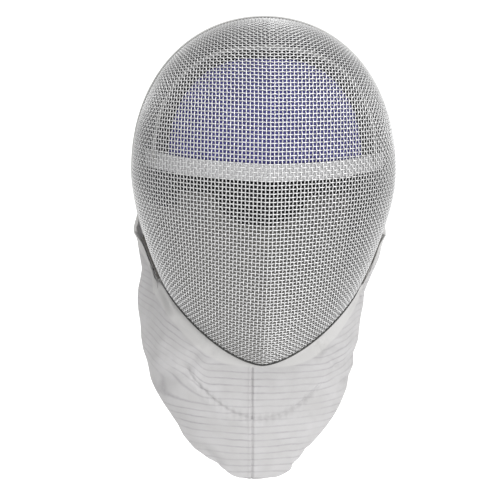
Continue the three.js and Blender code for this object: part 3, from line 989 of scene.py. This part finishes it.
# %% Relief of the bib
SEAM_X, SEAM_LEAN = -8.6, 0.9
SEAM_DEPTH, SEAM_SWELL = 1.5, 0.7
ROW_DEPTH, ROW_SWELL, ROW_PUCKER = 1.2, 0.8, 0.3
CREASE_SWELL = 0.45
SMILE = {"middle_h": -194.3, "rise_per_mm": 0.0098, "middle_x": -2.0, "end_x": 46.0}
CREASES = [
    {"from": (-62.0, -156.0), "to": (-56.0, -146.0), "width": 4.2, "depth": 1.1},
    {"from": (-56.0, -146.0), "to": (-44.0, -141.5), "width": 3.4, "depth": 1.0},
    {"from": (-64.0, -158.0), "to": (-84.0, -172.0), "width": 4.4, "depth": 1.2},
    {"from": (-86.5, -101.0), "to": (-77.0, -114.0), "width": 2.6, "depth": 1.3},
    {"from": (-93.0, -151.0), "to": (-76.0, -149.0), "width": 3.4, "depth": 0.8},
    {"from": (-86.0, -178.0), "to": (-76.0, -167.0), "width": 4.5, "depth": 0.7},
    {"from": (-72.0, -122.0), "to": (-52.0, -137.0), "width": 3.4, "depth": 1.2},
    {"from": (44.0, -133.0), "to": (49.0, -141.0), "width": 2.4, "depth": 1.3},
    {"from": (54.0, -147.0), "to": (62.0, -155.0), "width": 2.4, "depth": 1.2},
    {"from": (66.0, -139.0), "to": (52.0, -134.0), "width": 3.0, "depth": 1.1},
    {"from": (70.0, -171.0), "to": (58.0, -163.0), "width": 3.2, "depth": 1.2},
    {"from": (36.0, -222.0), "to": (30.0, -233.0), "width": 3.0, "depth": 1.1},
    {"from": (-46.0, -224.0), "to": (-36.0, -232.0), "width": 3.6, "depth": 1.0},
]


def bell(distance, width):
    """exp(-(distance/width)^2): 1 at no distance, and near 0 past twice the width."""
    return np.exp(-((distance / width) ** 2))


def crease_distance(x, h, crease):
    """Distance in the front view from every point to a straight crease."""
    (x0, h0), (x1, h1) = crease["from"], crease["to"]
    dx, dh = x1 - x0, h1 - h0
    t = np.clip(((x - x0) * dx + (h - h0) * dh) / (dx * dx + dh * dh), 0, 1)
    return np.hypot(x - x0 - t * dx, h - h0 - t * dh)


def smile_height(x):
    """Height of the stitched row across the chest: a parabola about its middle."""
    return SMILE["middle_h"] + SMILE["rise_per_mm"] * (x - SMILE["middle_x"]) ** 2


def bib_relief(p, turns):
    """Outward movement in millimetres: soft swells, less the grooves of seams and creases."""
    x, y, h = p[..., 0], p[..., 1], p[..., 2]
    front = smooth((0.5 - np.abs(turns)) / 0.12)[None, :]
    swell = 0.9 * np.sin(x / 19 + h / 31) * np.sin(h / 23 - x / 41 + 1.1)
    swell += 0.5 * np.sin(y / 9 + h / 13) * np.sin(x / 12 - h / 17)
    seam = SEAM_X + SEAM_LEAN * smooth((-160 - h) / 80)
    groove = -SEAM_DEPTH * bell(x - seam, 0.8)
    groove += SEAM_SWELL * (bell(x - seam + 1.9, 0.9) + 0.5 * bell(x - seam - 2.0, 1.0))
    groove *= smooth((-151 - h) / 3)
    off = h - smile_height(x)
    reach_of_row = smooth((SMILE["end_x"] + 16 - np.abs(x + 6)) / 14)
    row = ROW_SWELL * (bell(off + 5.5, 4.0) + 0.625 * bell(off - 5.5, 4.0)) - ROW_DEPTH * bell(off, 1.5)
    pucker = ROW_PUCKER * np.cos(x * 1.15) * bell(off, 4.5)
    relief = groove + (row + pucker) * reach_of_row
    for crease in CREASES:
        near, width = crease_distance(x, h, crease), crease["width"]
        swollen = CREASE_SWELL * bell(near - 2.1 * width, 1.1 * width)
        relief = relief + crease["depth"] * (swollen - bell(near, width))
    return swell + relief * front


print("creases", len(CREASES), "and side steps at", len(SIDE_PROFILE), "heights")


# %% [markdown]
# ## The quilted bib
# The middle surface gets a thickness of its own instead of a Solidify modifier,
# because its edges must be round: the outer wall runs down to the hem, turns
# round it in half a circle, and comes back up inside. Every ring of points goes
# once round the neck.

# %% Build the bib
COLUMNS_FRONT, COLUMNS_BACK = 330, 90
ROWS_DOWN, INNER_STRIDE = 110, 4
HEM_STEPS = 6
TOP_ROUND = 0.5

half_turns = np.concatenate([
    np.linspace(0, 0.6, COLUMNS_FRONT // 2, endpoint=False), np.linspace(0.6, 1, COLUMNS_BACK // 2 + 1),
])
turns = np.concatenate([-half_turns[:0:-1], half_turns[:-1]])
down = np.linspace(0, 1, ROWS_DOWN)
middle = bib_middle(turns, down)
wrapped = np.concatenate([middle[:, -2:], middle, middle[:, :2]], 1)
across_step = np.gradient(wrapped, axis=1)[:, 2:-2]
down_step = np.gradient(middle, axis=0)
normal = unit(np.cross(down_step, across_step))
normal *= -np.sign(normal[ROWS_DOWN // 2, np.argmin(np.abs(turns)), 1])
relief = bib_relief(middle, turns) * smooth(down / 0.04)[:, None]
outer = middle + normal * (BIB_THICKNESS / 2 + relief)[..., None]
inner = middle - normal * (BIB_THICKNESS / 2)
hem_turn = np.linspace(0, math.pi, HEM_STEPS + 2)[1:-1, None, None]
hem_down, top_down = unit(down_step[-1]), -unit(down_step[0])
hem_middle, top_middle = (outer[-1] + inner[-1]) / 2, (outer[0] + inner[0]) / 2
hem_half, top_half = (outer[-1] - inner[-1]) / 2, (outer[0] - inner[0]) / 2
hem_cap = hem_middle + hem_half * np.cos(hem_turn) + hem_down * np.sin(hem_turn) * BIB_THICKNESS / 2
top_cap = top_middle - top_half * np.cos(hem_turn) + top_down * np.sin(hem_turn) * TOP_ROUND
bib_rings = np.concatenate([outer, hem_cap, inner[::-INNER_STRIDE], inner[:1], top_cap], 0)
print("bib's rings and points", bib_rings.shape[:2])

# %% [markdown]
# ## Stripes and sides of the cloth
# The pinstripes follow a height kept in the UV map. They run level in front and
# slope at the sides, as on cloth cut on the slant, from a given place to the
# left and right of the middle. Two more numbers are kept at each point for the
# finish: where the plain facing along the jaw lies, and where the side of the cloth
# that faces the neck gets painted shade, which is left out beside the flaps.

# %% Stripes, facing and inner side
LEFT_SLOPE = {"from_x": -42, "slope": 0.5}
RIGHT_SLOPE = {"from_x": 48, "slope": -0.22}
stripe_x, stripe_y, stripe_h = bib_rings[..., 0], bib_rings[..., 1], bib_rings[..., 2]
left_off, right_off = stripe_x - LEFT_SLOPE["from_x"], stripe_x - RIGHT_SLOPE["from_x"]
left_share = smooth(-left_off / 16) * smooth((stripe_h + 190) / 30)
right_share = smooth(right_off / 16) * smooth((stripe_h + 185) / 25)
stripe = stripe_h + 0.07 * stripe_y
stripe += LEFT_SLOPE["slope"] * left_share * left_off + RIGHT_SLOPE["slope"] * right_share * right_off
across_length = np.broadcast_to(arc_lengths(middle[ROWS_DOWN // 2]), stripe.shape)
bib_uv = np.stack([across_length, stripe], -1) * MM
bib = tube("quilted_bib", bib_rings, bib_uv, joined=True)
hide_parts("bib")

FACING_AT_CHIN, FACING_AT_EAR = 3.0, 13.0
from_top = np.linalg.norm(bib_rings - middle[0][None], axis=-1)
facing_width = FACING_AT_CHIN + (FACING_AT_EAR - FACING_AT_CHIN) * smooth(np.abs(turns) / 0.22)
plain = smooth((facing_width[None] - from_top) / 1.5 + 0.5)
facing = bib.data.attributes.new("facing", "FLOAT", "POINT")
facing.data.foreach_set("value", plain.astype(np.float32).ravel())

# The side of the bib that faces the neck gets painted shade, except beside the flaps.
inside_rows = np.zeros(len(bib_rings))
inside_rows[ROWS_DOWN + HEM_STEPS // 2:-HEM_STEPS // 2] = 1.0
inner_shade = bib.data.attributes.new("inner_side_shade", "FLOAT", "POINT")
behind = smooth((np.abs(turns) - 0.62) / 0.1) + smooth((0.5 - np.abs(turns)) / 0.08)
inner_shade.data.foreach_set("value", (inside_rows[:, None] * behind).astype(np.float32).ravel())

# %% [markdown]
# ## Forehead pad
# The pad inside is foam in knitted cloth, shaped like a half moon, with the same
# curve as the dome but flatter. A sphere could be squashed to it, yet a pillow
# formula is truer: full thickness over most of the moon and a quick rounding
# towards its edge. The band is the same pillow, low and wide, with a squarer
# rim. Both rise a little towards their ends, and the band reaches past the moon.

# %% The pillow's formula
PAD_SHARE = 0.42
PAD_HALF_WIDTH = 80.0
PAD_BASE, PAD_TOP = 15.0, 100.0
PAD_THICKNESS = 9.0
ARCH_SIDE_POWER, ARCH_TOP_POWER = 0.8, 0.9
END_RISE = 5.0


def end_rise(x):
    """The band and the pad's foot rise towards their ends, as the square of the way out."""
    return END_RISE * (x / PAD_HALF_WIDTH) ** 2


def lining_front(x, h):
    """Point of the lining: the dome at a fraction of its reach."""
    return np.stack([x, -PAD_SHARE * reach(x, h), h], -1)


def arch_height(x, half_width, top):
    """Height of the moon's edge: sin^0.9 of the angle whose cos^0.8 is the share of the half width."""
    across = np.clip(np.abs(x) / half_width, 0, 1) ** (1 / ARCH_SIDE_POWER)
    return PAD_BASE + (top - PAD_BASE) * np.sqrt(1 - across ** 2) ** ARCH_TOP_POWER


def pillow_rings(columns, rows, half_width, base, top_of, thickness, crown, rim=5):
    """Rings round a pillow, one for each column: up its front, then down its back."""
    x = half_width * np.sin(np.linspace(-1, 1, columns) * (math.pi / 2 - 0.03))
    w = (1 - np.cos(np.linspace(0, math.pi, rows))) / 2
    foot = base + end_rise(x)
    top = np.maximum(top_of(x), foot + 0.6)
    h = foot[:, None] + (top - foot)[:, None] * w[None]
    xx = np.broadcast_to(x[:, None], h.shape)
    edge = np.clip(1 - (np.abs(xx) / half_width) ** 4, 0, 1)
    edge = edge * np.clip(1 - np.abs(2 * w - 1)[None] ** rim, 0, 1)
    body = np.sqrt(edge)
    face = lining_front(xx, h)
    front, back = face.copy(), face.copy()
    front[..., 1] += thickness * 0.5 - (thickness * 0.5 + crown * edge) * body
    back[..., 1] += thickness * 0.5 + thickness * 0.5 * body
    return np.concatenate([front, back[:, -2:0:-1]], 1)


# %% [markdown]
# ## Cushion and band
# The moon's arch gives the cushion its top edge. The band's top edge is its own
# foot line moved up, and it laps over the cushion's foot by a hair, so that no
# light comes through between them.

# %% Forehead cushion and brow band
BAND_HEIGHT, BAND_THICKNESS, BAND_OVERHANG = 13.0, 4.0, 20.0
BAND_LAP = 0.6
PAD_GAP = 0.4

pad_rings = pillow_rings(
    columns=150, rows=60, half_width=PAD_HALF_WIDTH, base=PAD_BASE,
    top_of=lambda x: arch_height(x, PAD_HALF_WIDTH, PAD_TOP), thickness=PAD_THICKNESS, crown=0.6)
pad = tube("forehead_cushion", pad_rings)
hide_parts("forehead_pad")

band_top, band_foot = PAD_BASE + BAND_LAP, PAD_BASE - PAD_GAP - BAND_HEIGHT
band_rings = pillow_rings(
    columns=150, rows=24, half_width=PAD_HALF_WIDTH + BAND_OVERHANG, base=band_foot,
    top_of=lambda x: band_top + end_rise(x), thickness=BAND_THICKNESS, crown=0.3, rim=16)
band = tube("brow_band", band_rings)
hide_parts("forehead_band")

# %% [markdown]
# ## Lining between the pad and the rear edge
# Near-black cloth fills the space between the pad and the rear edge: its colour is
# painted shade of the mask's inside, so that the crown looks deep. Near the pad it carries a thin pale
# piping. The cloth is a wall of two and a half millimetres, carried along the pad's arch, and a tail of
# it hangs down beside the face on each side. The tail is longer on the right, where it carries the painted
# shade of that side of the inside. Its inner edge is tucked behind the pad and the band, so that no light
# shows between them.
#
# The inner edge is the moon's arch drawn in by the tuck, and the outer one is the
# rear edge of the mesh drawn in by a small inset.

# %% Edges of the lining
LINING_INSET = 4.0
LINING_TUCK = 6.0
ARCH_STEPS = 160


def arch_path(steps, out, up):
    """The moon's arched edge grown by a step sideways and a step up, from right to left."""
    angle = np.linspace(0, math.pi, steps)
    x = (PAD_HALF_WIDTH + out) * np.sign(np.cos(angle)) * np.abs(np.cos(angle)) ** ARCH_SIDE_POWER
    h = PAD_BASE + (PAD_TOP + up - PAD_BASE) * np.sin(angle) ** ARCH_TOP_POWER
    return x, h


arch_x, arch_h = arch_path(ARCH_STEPS, -LINING_TUCK, -LINING_TUCK)
angle = np.linspace(0, math.pi, ARCH_STEPS)
rim_h = CROWN_RISE * np.sin(angle) ** (2 / CROWN_POWER)
rim_x = np.sign(np.cos(angle)) * HALF_WIDTH * np.abs(np.cos(angle)) ** (2 / side_power(rim_h))
rim_x = rim_x * (1 - LINING_INSET / HALF_WIDTH)
rim_h = np.maximum(rim_h, PAD_BASE) * (1 - LINING_INSET / CROWN_RISE)


# %% [markdown]
# ## Tails and wall of the lining
# Each tail is one more stretch of the same two edges, so the arch, its rim and
# the tails are joined end to end. Lines between the two edges make the wall.

# %% Wall of the lining
CHEEK_STEPS = 40
CHEEK_TAPER = -0.04
CHEEK_FOOT_RIGHT, CHEEK_FOOT_LEFT = -78.0, -24.0
LINING_THICKNESS = 2.5
BAND_COVER, BAND_COVER_FADE = 34.0, 8.0


def cheek(foot, side):
    """The lining's tail beside the face: inner and outer edges from the pad's foot down to its own."""
    level = np.linspace(PAD_BASE - 1.0, foot, CHEEK_STEPS)
    inner_x = PAD_HALF_WIDTH - LINING_TUCK + CHEEK_TAPER * (PAD_BASE - level)
    return side * inner_x, side * (rim_half_width(level) - LINING_INSET), level


right_in, right_out, right_h = cheek(CHEEK_FOOT_RIGHT, 1.0)
left_in, left_out, left_h = cheek(CHEEK_FOOT_LEFT, -1.0)
arch_x = np.concatenate([right_in[::-1], arch_x, left_in])
rim_x = np.concatenate([right_out[::-1], rim_x, left_out])
arch_h = np.concatenate([right_h[::-1], arch_h, left_h])
rim_h = np.concatenate([right_h[::-1], rim_h, left_h])
share = np.sin(np.linspace(0, 1, 26) * math.pi / 2)
wall_x = arch_x[:, None] + (rim_x - arch_x)[:, None] * share
wall_h = arch_h[:, None] + (rim_h - arch_h)[:, None] * share
wall_front = lining_front(wall_x, wall_h)
walked = np.linalg.norm(wall_front - wall_front[:, :1], axis=-1)
tucked = (PAD_THICKNESS + PAD_GAP) * (1 - smooth((walked - LINING_TUCK) / LINING_TUCK))
behind_band = (BAND_THICKNESS + 2 * PAD_GAP) * smooth((BAND_COVER - wall_h) / BAND_COVER_FADE)
wall_front[..., 1] += np.maximum(tucked, behind_band)
wall_back = wall_front + np.array([0.0, LINING_THICKNESS, 0.0])
lining = tube("crown_lining", np.concatenate([wall_front, wall_back[:, ::-1]], 1))
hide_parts("lining_frame")

# %% [markdown]
# ## Piping
# A thin pale piping is sewn to the lining round the pad. It shows through the
# mesh as a faint arch. It is the same round cord as along the jaw.

# %% Piping round the pad
PIPING_RADIUS = 1.5
PIPING_OUT, PIPING_UP = 12.0, 8.0

pipe_x, pipe_h = arch_path(200, PIPING_OUT, PIPING_UP)
pipe_path = lining_front(pipe_x, pipe_h) - np.array([0.0, PIPING_RADIUS * 0.8, 0.0])
piping = round_cord("lining_piping", pipe_path, PIPING_RADIUS, sides=10)

# %% [markdown]
# ## Strap and pad behind the head
# An elastic strap runs from the right ear round the back of the head to the
# left, falling towards the back, and a padded tongue hangs on it. The strap is a
# flat length of elastic, held stretched by the tape at both ears: a rectangle
# with round corners, carried along a curve that is half an oval seen from above.

# %% Elastic strap
STRAP_THICKNESS = 2.0
STRAP_STEPS = 200
STRAP_START = 8.3
STRAP_REACH = 45.0


def strap_point(share, inset):
    """Upper edge of the strap: half an oval seen from above, highest at its ends."""
    behind = np.sin(share * math.pi)
    h = STRAP_TOP + STRAP_END_RISE * (1 - behind)
    x = (rim_half_width(h - STRAP_HEIGHT) - inset) * np.cos(share * math.pi)
    return np.stack([x, STRAP_START + (STRAP_REACH - inset) * behind, h], -1)


strap_path = strap_point(np.linspace(0, 1, STRAP_STEPS), STRAP_THICKNESS / 2)
strap_path -= np.array([0.0, 0.0, STRAP_HEIGHT / 2])
strap_along = unit(np.gradient(strap_path, axis=0))
strap_out = unit(np.cross(strap_along, [0.0, 0.0, 1.0]))
strap_up = np.tile([0.0, 0.0, 1.0], (STRAP_STEPS, 1))
strap_outline = rounded_outline(STRAP_THICKNESS / 2, STRAP_HEIGHT / 2, 0.8, 4)
strap_rings = carried(strap_path, strap_out, strap_up, strap_outline)
strap = tube("elastic_strap", strap_rings, length_uv(strap_path, strap_outline))
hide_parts("rear_strap")

# %% [markdown]
# ## Tongue
# The tongue is a pillow again, wider than it is tall, hung from the strap's upper
# edge. Its two faces are the strap's curve moved to either side.

# %% Rear tongue
TONGUE_HALF_WIDTH, TONGUE_DROP, TONGUE_THICKNESS = 48.0, 44.0, 7.0
TONGUE_TAPER = 2.6

tongue_x = TONGUE_HALF_WIDTH * np.sin(np.linspace(-1, 1, 90) * (math.pi / 2 - 0.04))
tongue_w = (1 - np.cos(np.linspace(0, math.pi, 40))) / 2
taper = (1 - np.clip(np.abs(tongue_x) / TONGUE_HALF_WIDTH, 0, 1) ** 2) ** (1 / TONGUE_TAPER)
tongue_h = STRAP_TOP - TONGUE_DROP * taper[:, None] * tongue_w
strap_half = strap_point(np.array([0.0]), 0.0)[0, 0]
tongue_share = np.arccos(tongue_x / strap_half) / math.pi
edge = np.clip(1 - np.abs(tongue_x / TONGUE_HALF_WIDTH)[:, None] ** 4, 0, 1)
edge = edge * np.clip(1 - np.abs(2 * tongue_w - 1) ** 5, 0, 1)
swell = np.sqrt(edge) * TONGUE_THICKNESS / 2


def tongue_face(side):
    """One face of the tongue: the strap's curve seen from above, moved by half its thickness."""
    inset = STRAP_THICKNESS + PAD_GAP + TONGUE_THICKNESS / 2 + side * swell
    share = np.broadcast_to(tongue_share[:, None], inset.shape)
    face = strap_point(share, inset)
    face[..., 2] = tongue_h
    return face


tongue_rings = np.concatenate([tongue_face(-1), tongue_face(1)[:, -2:0:-1]], 1)
tongue = tube("rear_tongue", tongue_rings)
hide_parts("rear_pad")

# %% [markdown]
# ## Cloth finishes
# Each cloth gets its own recipe of two or three parts: a colour that wanders a
# little, a fine weave in the surface, and for the bib the pinstripes. Image
# textures could do it, but noise and sums fit any piece and need no file. First
# come four helpers that save writing the same nodes again.

# %% Helpers for cloth
def math_node(tree, operation, first, second=None):
    """One arithmetic node; each input is a socket or a plain number."""
    node = tree.nodes.new("ShaderNodeMath")
    node.operation = operation
    for slot, value in enumerate((first, second)):
        if value is None:
            continue
        if isinstance(value, (int, float)):
            node.inputs[slot].default_value = value
        else:
            tree.links.new(value, node.inputs[slot])
    return node.outputs["Value"]


def bump(tree, shader, height, strength, distance):
    """Link a height to the shader's normal."""
    node = tree.nodes.new("ShaderNodeBump")
    node.inputs["Strength"].default_value = strength
    node.inputs["Distance"].default_value = distance
    tree.links.new(height, node.inputs["Height"])
    tree.links.new(node.outputs["Normal"], shader.inputs["Normal"])


def cloth_place(tree):
    """Place on the cloth from its UV map, in metres: X along it and Y up or across it."""
    uv = tree.nodes.new("ShaderNodeUVMap")
    uv.uv_map = "cloth"
    split = tree.nodes.new("ShaderNodeSeparateXYZ")
    tree.links.new(uv.outputs["UV"], split.inputs["Vector"])
    return split.outputs


def ranged(tree, value, start, end, low=0.0):
    """A number that goes from low to 1 while its value goes from start to end, and stays there."""
    node = tree.nodes.new("ShaderNodeMapRange")
    node.inputs["From Min"].default_value = start
    node.inputs["From Max"].default_value = end
    node.inputs["To Min"].default_value = low
    tree.links.new(value, node.inputs["Value"])
    return node.outputs["Result"]


# %% [markdown]
# ## Plain cloth and ribbed tape
# Knitted and woven pieces differ only in colour here. Tape and elastic also have
# fine ribs across them, drawn as a sine of the length walked along the strip.

# %% Plain and ribbed cloth
def cloth_material(name, low, high):
    """Cloth: a slow noise drifts the colour, and a fine one gives the surface."""
    material, tree, shader = new_material(name)
    tree.links.new(ramp_between(tree, noise_of(tree, 60), low, high), shader.inputs["Base Color"])
    shader.inputs["Roughness"].default_value = 0.9
    bump(tree, shader, noise_of(tree, 1800), 0.35, 0.0003)
    return material


def ribbed_material(name, low, high, ribs):
    """Tape or elastic: fine ribs across it from the UV map, and a slow drift of colour."""
    material, tree, shader = new_material(name)
    tree.links.new(ramp_between(tree, noise_of(tree, 200), low, high), shader.inputs["Base Color"])
    shader.inputs["Roughness"].default_value = 0.85
    wave = math_node(tree, "SINE", math_node(tree, "MULTIPLY", cloth_place(tree)["X"], ribs))
    bump(tree, shader, wave, 0.4, 0.0002)
    return material


# %% [markdown]
# ## Pinstriped cloth
# The stripes are drawn from the UV map's height, one every five and a half
# millimetres or so. They wander a little with a slow noise, fade in and out with
# another and are broken by a fine one, as woven stripes are in a photograph. The
# facing along the jaw is plain and a little lighter, and the inner side is darker with painted shade.

# %% Pinstriped cloth
STRIPE_PITCH, STRIPE_SHARE, STRIPE_CORE, STRIPE_WANDER = 0.0056, 0.17, 0.02, 0.0026


def stripes_of(tree):
    """Strength of the pinstripes: a soft line at each half pitch of the cloth's height, fading and broken."""
    wander = math_node(tree, "MULTIPLY", noise_of(tree, 45), STRIPE_WANDER)
    height = math_node(tree, "ADD", cloth_place(tree)["Y"], wander)
    pitches = math_node(tree, "FRACT", math_node(tree, "DIVIDE", height, STRIPE_PITCH))
    away = math_node(tree, "ABSOLUTE", math_node(tree, "SUBTRACT", pitches, 0.5))
    line = ranged(tree, away, STRIPE_SHARE, STRIPE_CORE)
    faded = math_node(tree, "MULTIPLY", line, ranged(tree, noise_of(tree, 38), 0.3, 0.65, low=0.15))
    return math_node(tree, "MULTIPLY", faded, math_node(tree, "ADD", noise_of(tree, 420), 0.35))


def striped_material(name, low, high, line, plain, inner):
    """Bib cloth: pinstripes on its ground, a plain facing, and a darker colour inside, which is painted
    shade.
    """
    material, tree, shader = new_material(name)
    facing = number_of(tree, "facing")
    stripes = math_node(tree, "MULTIPLY", stripes_of(tree), math_node(tree, "SUBTRACT", 1.0, facing))
    ground = ramp_between(tree, noise_of(tree, 70), low, high)
    cloth = mix_colours(tree, facing, mix_colours(tree, stripes, ground, line), plain)
    colour = mix_colours(tree, number_of(tree, "inner_side_shade"), cloth, inner)
    tree.links.new(colour, shader.inputs["Base Color"])
    shader.inputs["Roughness"].default_value = 0.9
    threads = math_node(tree, "MULTIPLY", noise_of(tree, 1500), 0.5)
    bump(tree, shader, math_node(tree, "SUBTRACT", threads, stripes), 0.4, 0.0003)
    return material


# %% [markdown]
# ## Dressing the pieces
# Each piece gets one finish, in a list of pairs. Two colours are given for each, and
# the noise moves between them. The clips are a darker and duller steel than
# the wires; their near-black colour is painted shade on the clips' faces.

# %% Finishes of the pieces
# Near-black steel for the clips and rivets: the darkness is painted shade.
clip_steel_painted_shade = steel_material(
    "clip_steel_painted_shade", low=(0.05, 0.047, 0.043), high=(0.085, 0.08, 0.073), rough_low=0.4, rough_high=0.55,
    grain=600, metallic=0.6)
for piece in clips:
    piece.data.materials.append(clip_steel_painted_shade)
# Near-black cloth for the cords: painted shadow along the jaw and inside the tape.
shadow_cord_cloth = cloth_material("painted_shadow_cord", (0.03, 0.03, 0.03), (0.06, 0.06, 0.058))
# inner is painted shade: the colour of the bib's inner side, darker than its outer side.
bib_cotton = striped_material(
    "bib_cotton", low=(0.36, 0.354, 0.354), high=(0.40, 0.394, 0.398), line=(0.285, 0.278, 0.284),
    plain=(0.43, 0.425, 0.42), inner=(0.20, 0.193, 0.182))
finishes = (
    (tape, ribbed_material("binding_tape", (0.43, 0.43, 0.42), (0.48, 0.48, 0.47), 4200.0)),
    (bib, bib_cotton),
    (jaw_shadow_cord, shadow_cord_cloth),
    (edge_shadow_cord, shadow_cord_cloth),
    (pad, cloth_material("blue_knit", (0.042, 0.038, 0.175), (0.07, 0.066, 0.26))),
    (band, cloth_material("white_knit", (0.52, 0.52, 0.53), (0.6, 0.6, 0.61))),
    (piping, cloth_material("pale_piping", (0.42, 0.42, 0.41), (0.5, 0.5, 0.49))),
    # The lining's near-black colour is painted shade of the mask's inside.
    (lining, cloth_material("lining_painted_shade", (0.010, 0.010, 0.011), (0.020, 0.020, 0.021))),
    # The strap's and tongue's near-black colours are partly their own black and partly painted shade of the
    # inside behind the head.
    (strap, ribbed_material("black_elastic", (0.004, 0.004, 0.005), (0.009, 0.009, 0.010), 5200.0)),
    (tongue, cloth_material("black_knit_with_painted_shade", (0.004, 0.004, 0.005), (0.009, 0.009, 0.010))),
)
for piece, finish in finishes:
    piece.data.materials.append(finish)
print("finishes", sorted(material.name for material in bpy.data.materials))

# %% [markdown]
# ## Floor and light
# The photograph is lit softly from all round, a little more from the right, in
# front of plain white. A pale floor that curves up behind stands in for it. It
# glows a little by itself, so that it stays white behind the mask.

# %% Floor
FLOOR_DROP = 0.25
FLOOR_HALF_WIDTH, FLOOR_FRONT, FLOOR_BEND, BEND_RADIUS, WALL_TOP = 6.0, -4.0, 2.5, 1.5, 5.0
scene = bpy.context.scene
floor_z = cad_box[0][2] - FLOOR_DROP
across = np.linspace(-FLOOR_HALF_WIDTH, FLOOR_HALF_WIDTH, 3)
bend = np.linspace(0, math.pi / 2, 16)
depth = np.concatenate([[FLOOR_FRONT], FLOOR_BEND + BEND_RADIUS * np.sin(bend), [FLOOR_BEND + BEND_RADIUS]])
rise = np.concatenate([[0.0], BEND_RADIUS * (1 - np.cos(bend)), [WALL_TOP]])
grid = np.stack(np.meshgrid(across, np.arange(len(depth)), indexing="xy"), -1)
floor_points = np.stack([
    grid[..., 0], depth[grid[..., 1].astype(int)], rise[grid[..., 1].astype(int)] + floor_z,
], -1)
floor_mesh = bpy.data.meshes.new("floor")
floor_faces = grid_faces(len(depth), len(across))[:, ::-1]
floor_mesh.from_pydata(floor_points.reshape(-1, 3).tolist(), [], floor_faces.tolist())
floor_mesh.polygons.foreach_set("use_smooth", np.ones(len(floor_mesh.polygons), dtype=bool))
floor = bpy.data.objects.new("floor", floor_mesh)
scene.collection.objects.link(floor)
floor_paint, _, floor_shader = new_material("floor_paint")
floor_shader.inputs["Base Color"].default_value = (0.9, 0.9, 0.9, 1)
floor_shader.inputs["Emission Color"].default_value = (1.0, 1.0, 1.0, 1)
floor_shader.inputs["Emission Strength"].default_value = 0.4
floor_shader.inputs["Roughness"].default_value = 0.9
floor_mesh.materials.append(floor_paint)
print("floor at", round(floor_z, 3), "m")

# %% [markdown]
# ## Sky and lamps
# The sky is plain white, so that the light comes from all round. Two broad lamps
# add the little more from the right and from above that the photograph shows.

# %% Sky and lamps
world = bpy.data.worlds.new("studio")
scene.world = world
world.use_nodes = True
world.node_tree.nodes["Background"].inputs["Color"].default_value = (1.0, 1.0, 1.0, 1)
world.node_tree.nodes["Background"].inputs["Strength"].default_value = 0.75
scene.view_settings.view_transform = "Standard"


def lamp(name, place, target, size, power):
    """A square area lamp at one point, facing another."""
    data = bpy.data.lights.new(name, "AREA")
    data.size = size
    data.energy = power
    light = bpy.data.objects.new(name, data)
    scene.collection.objects.link(light)
    direction = Vector(target) - Vector(place)
    light.rotation_euler = direction.to_track_quat("-Z", "Y").to_euler()
    light.location = place
    return light


lamp("key_right", place=(1.0, -1.2, 0.7), target=(0, 0, -0.15), size=0.7, power=20)
lamp("top_soft", place=(-0.3, -0.8, 1.5), target=(0, 0, -0.1), size=0.8, power=15)
print("lamps", [light.name for light in bpy.data.lights])
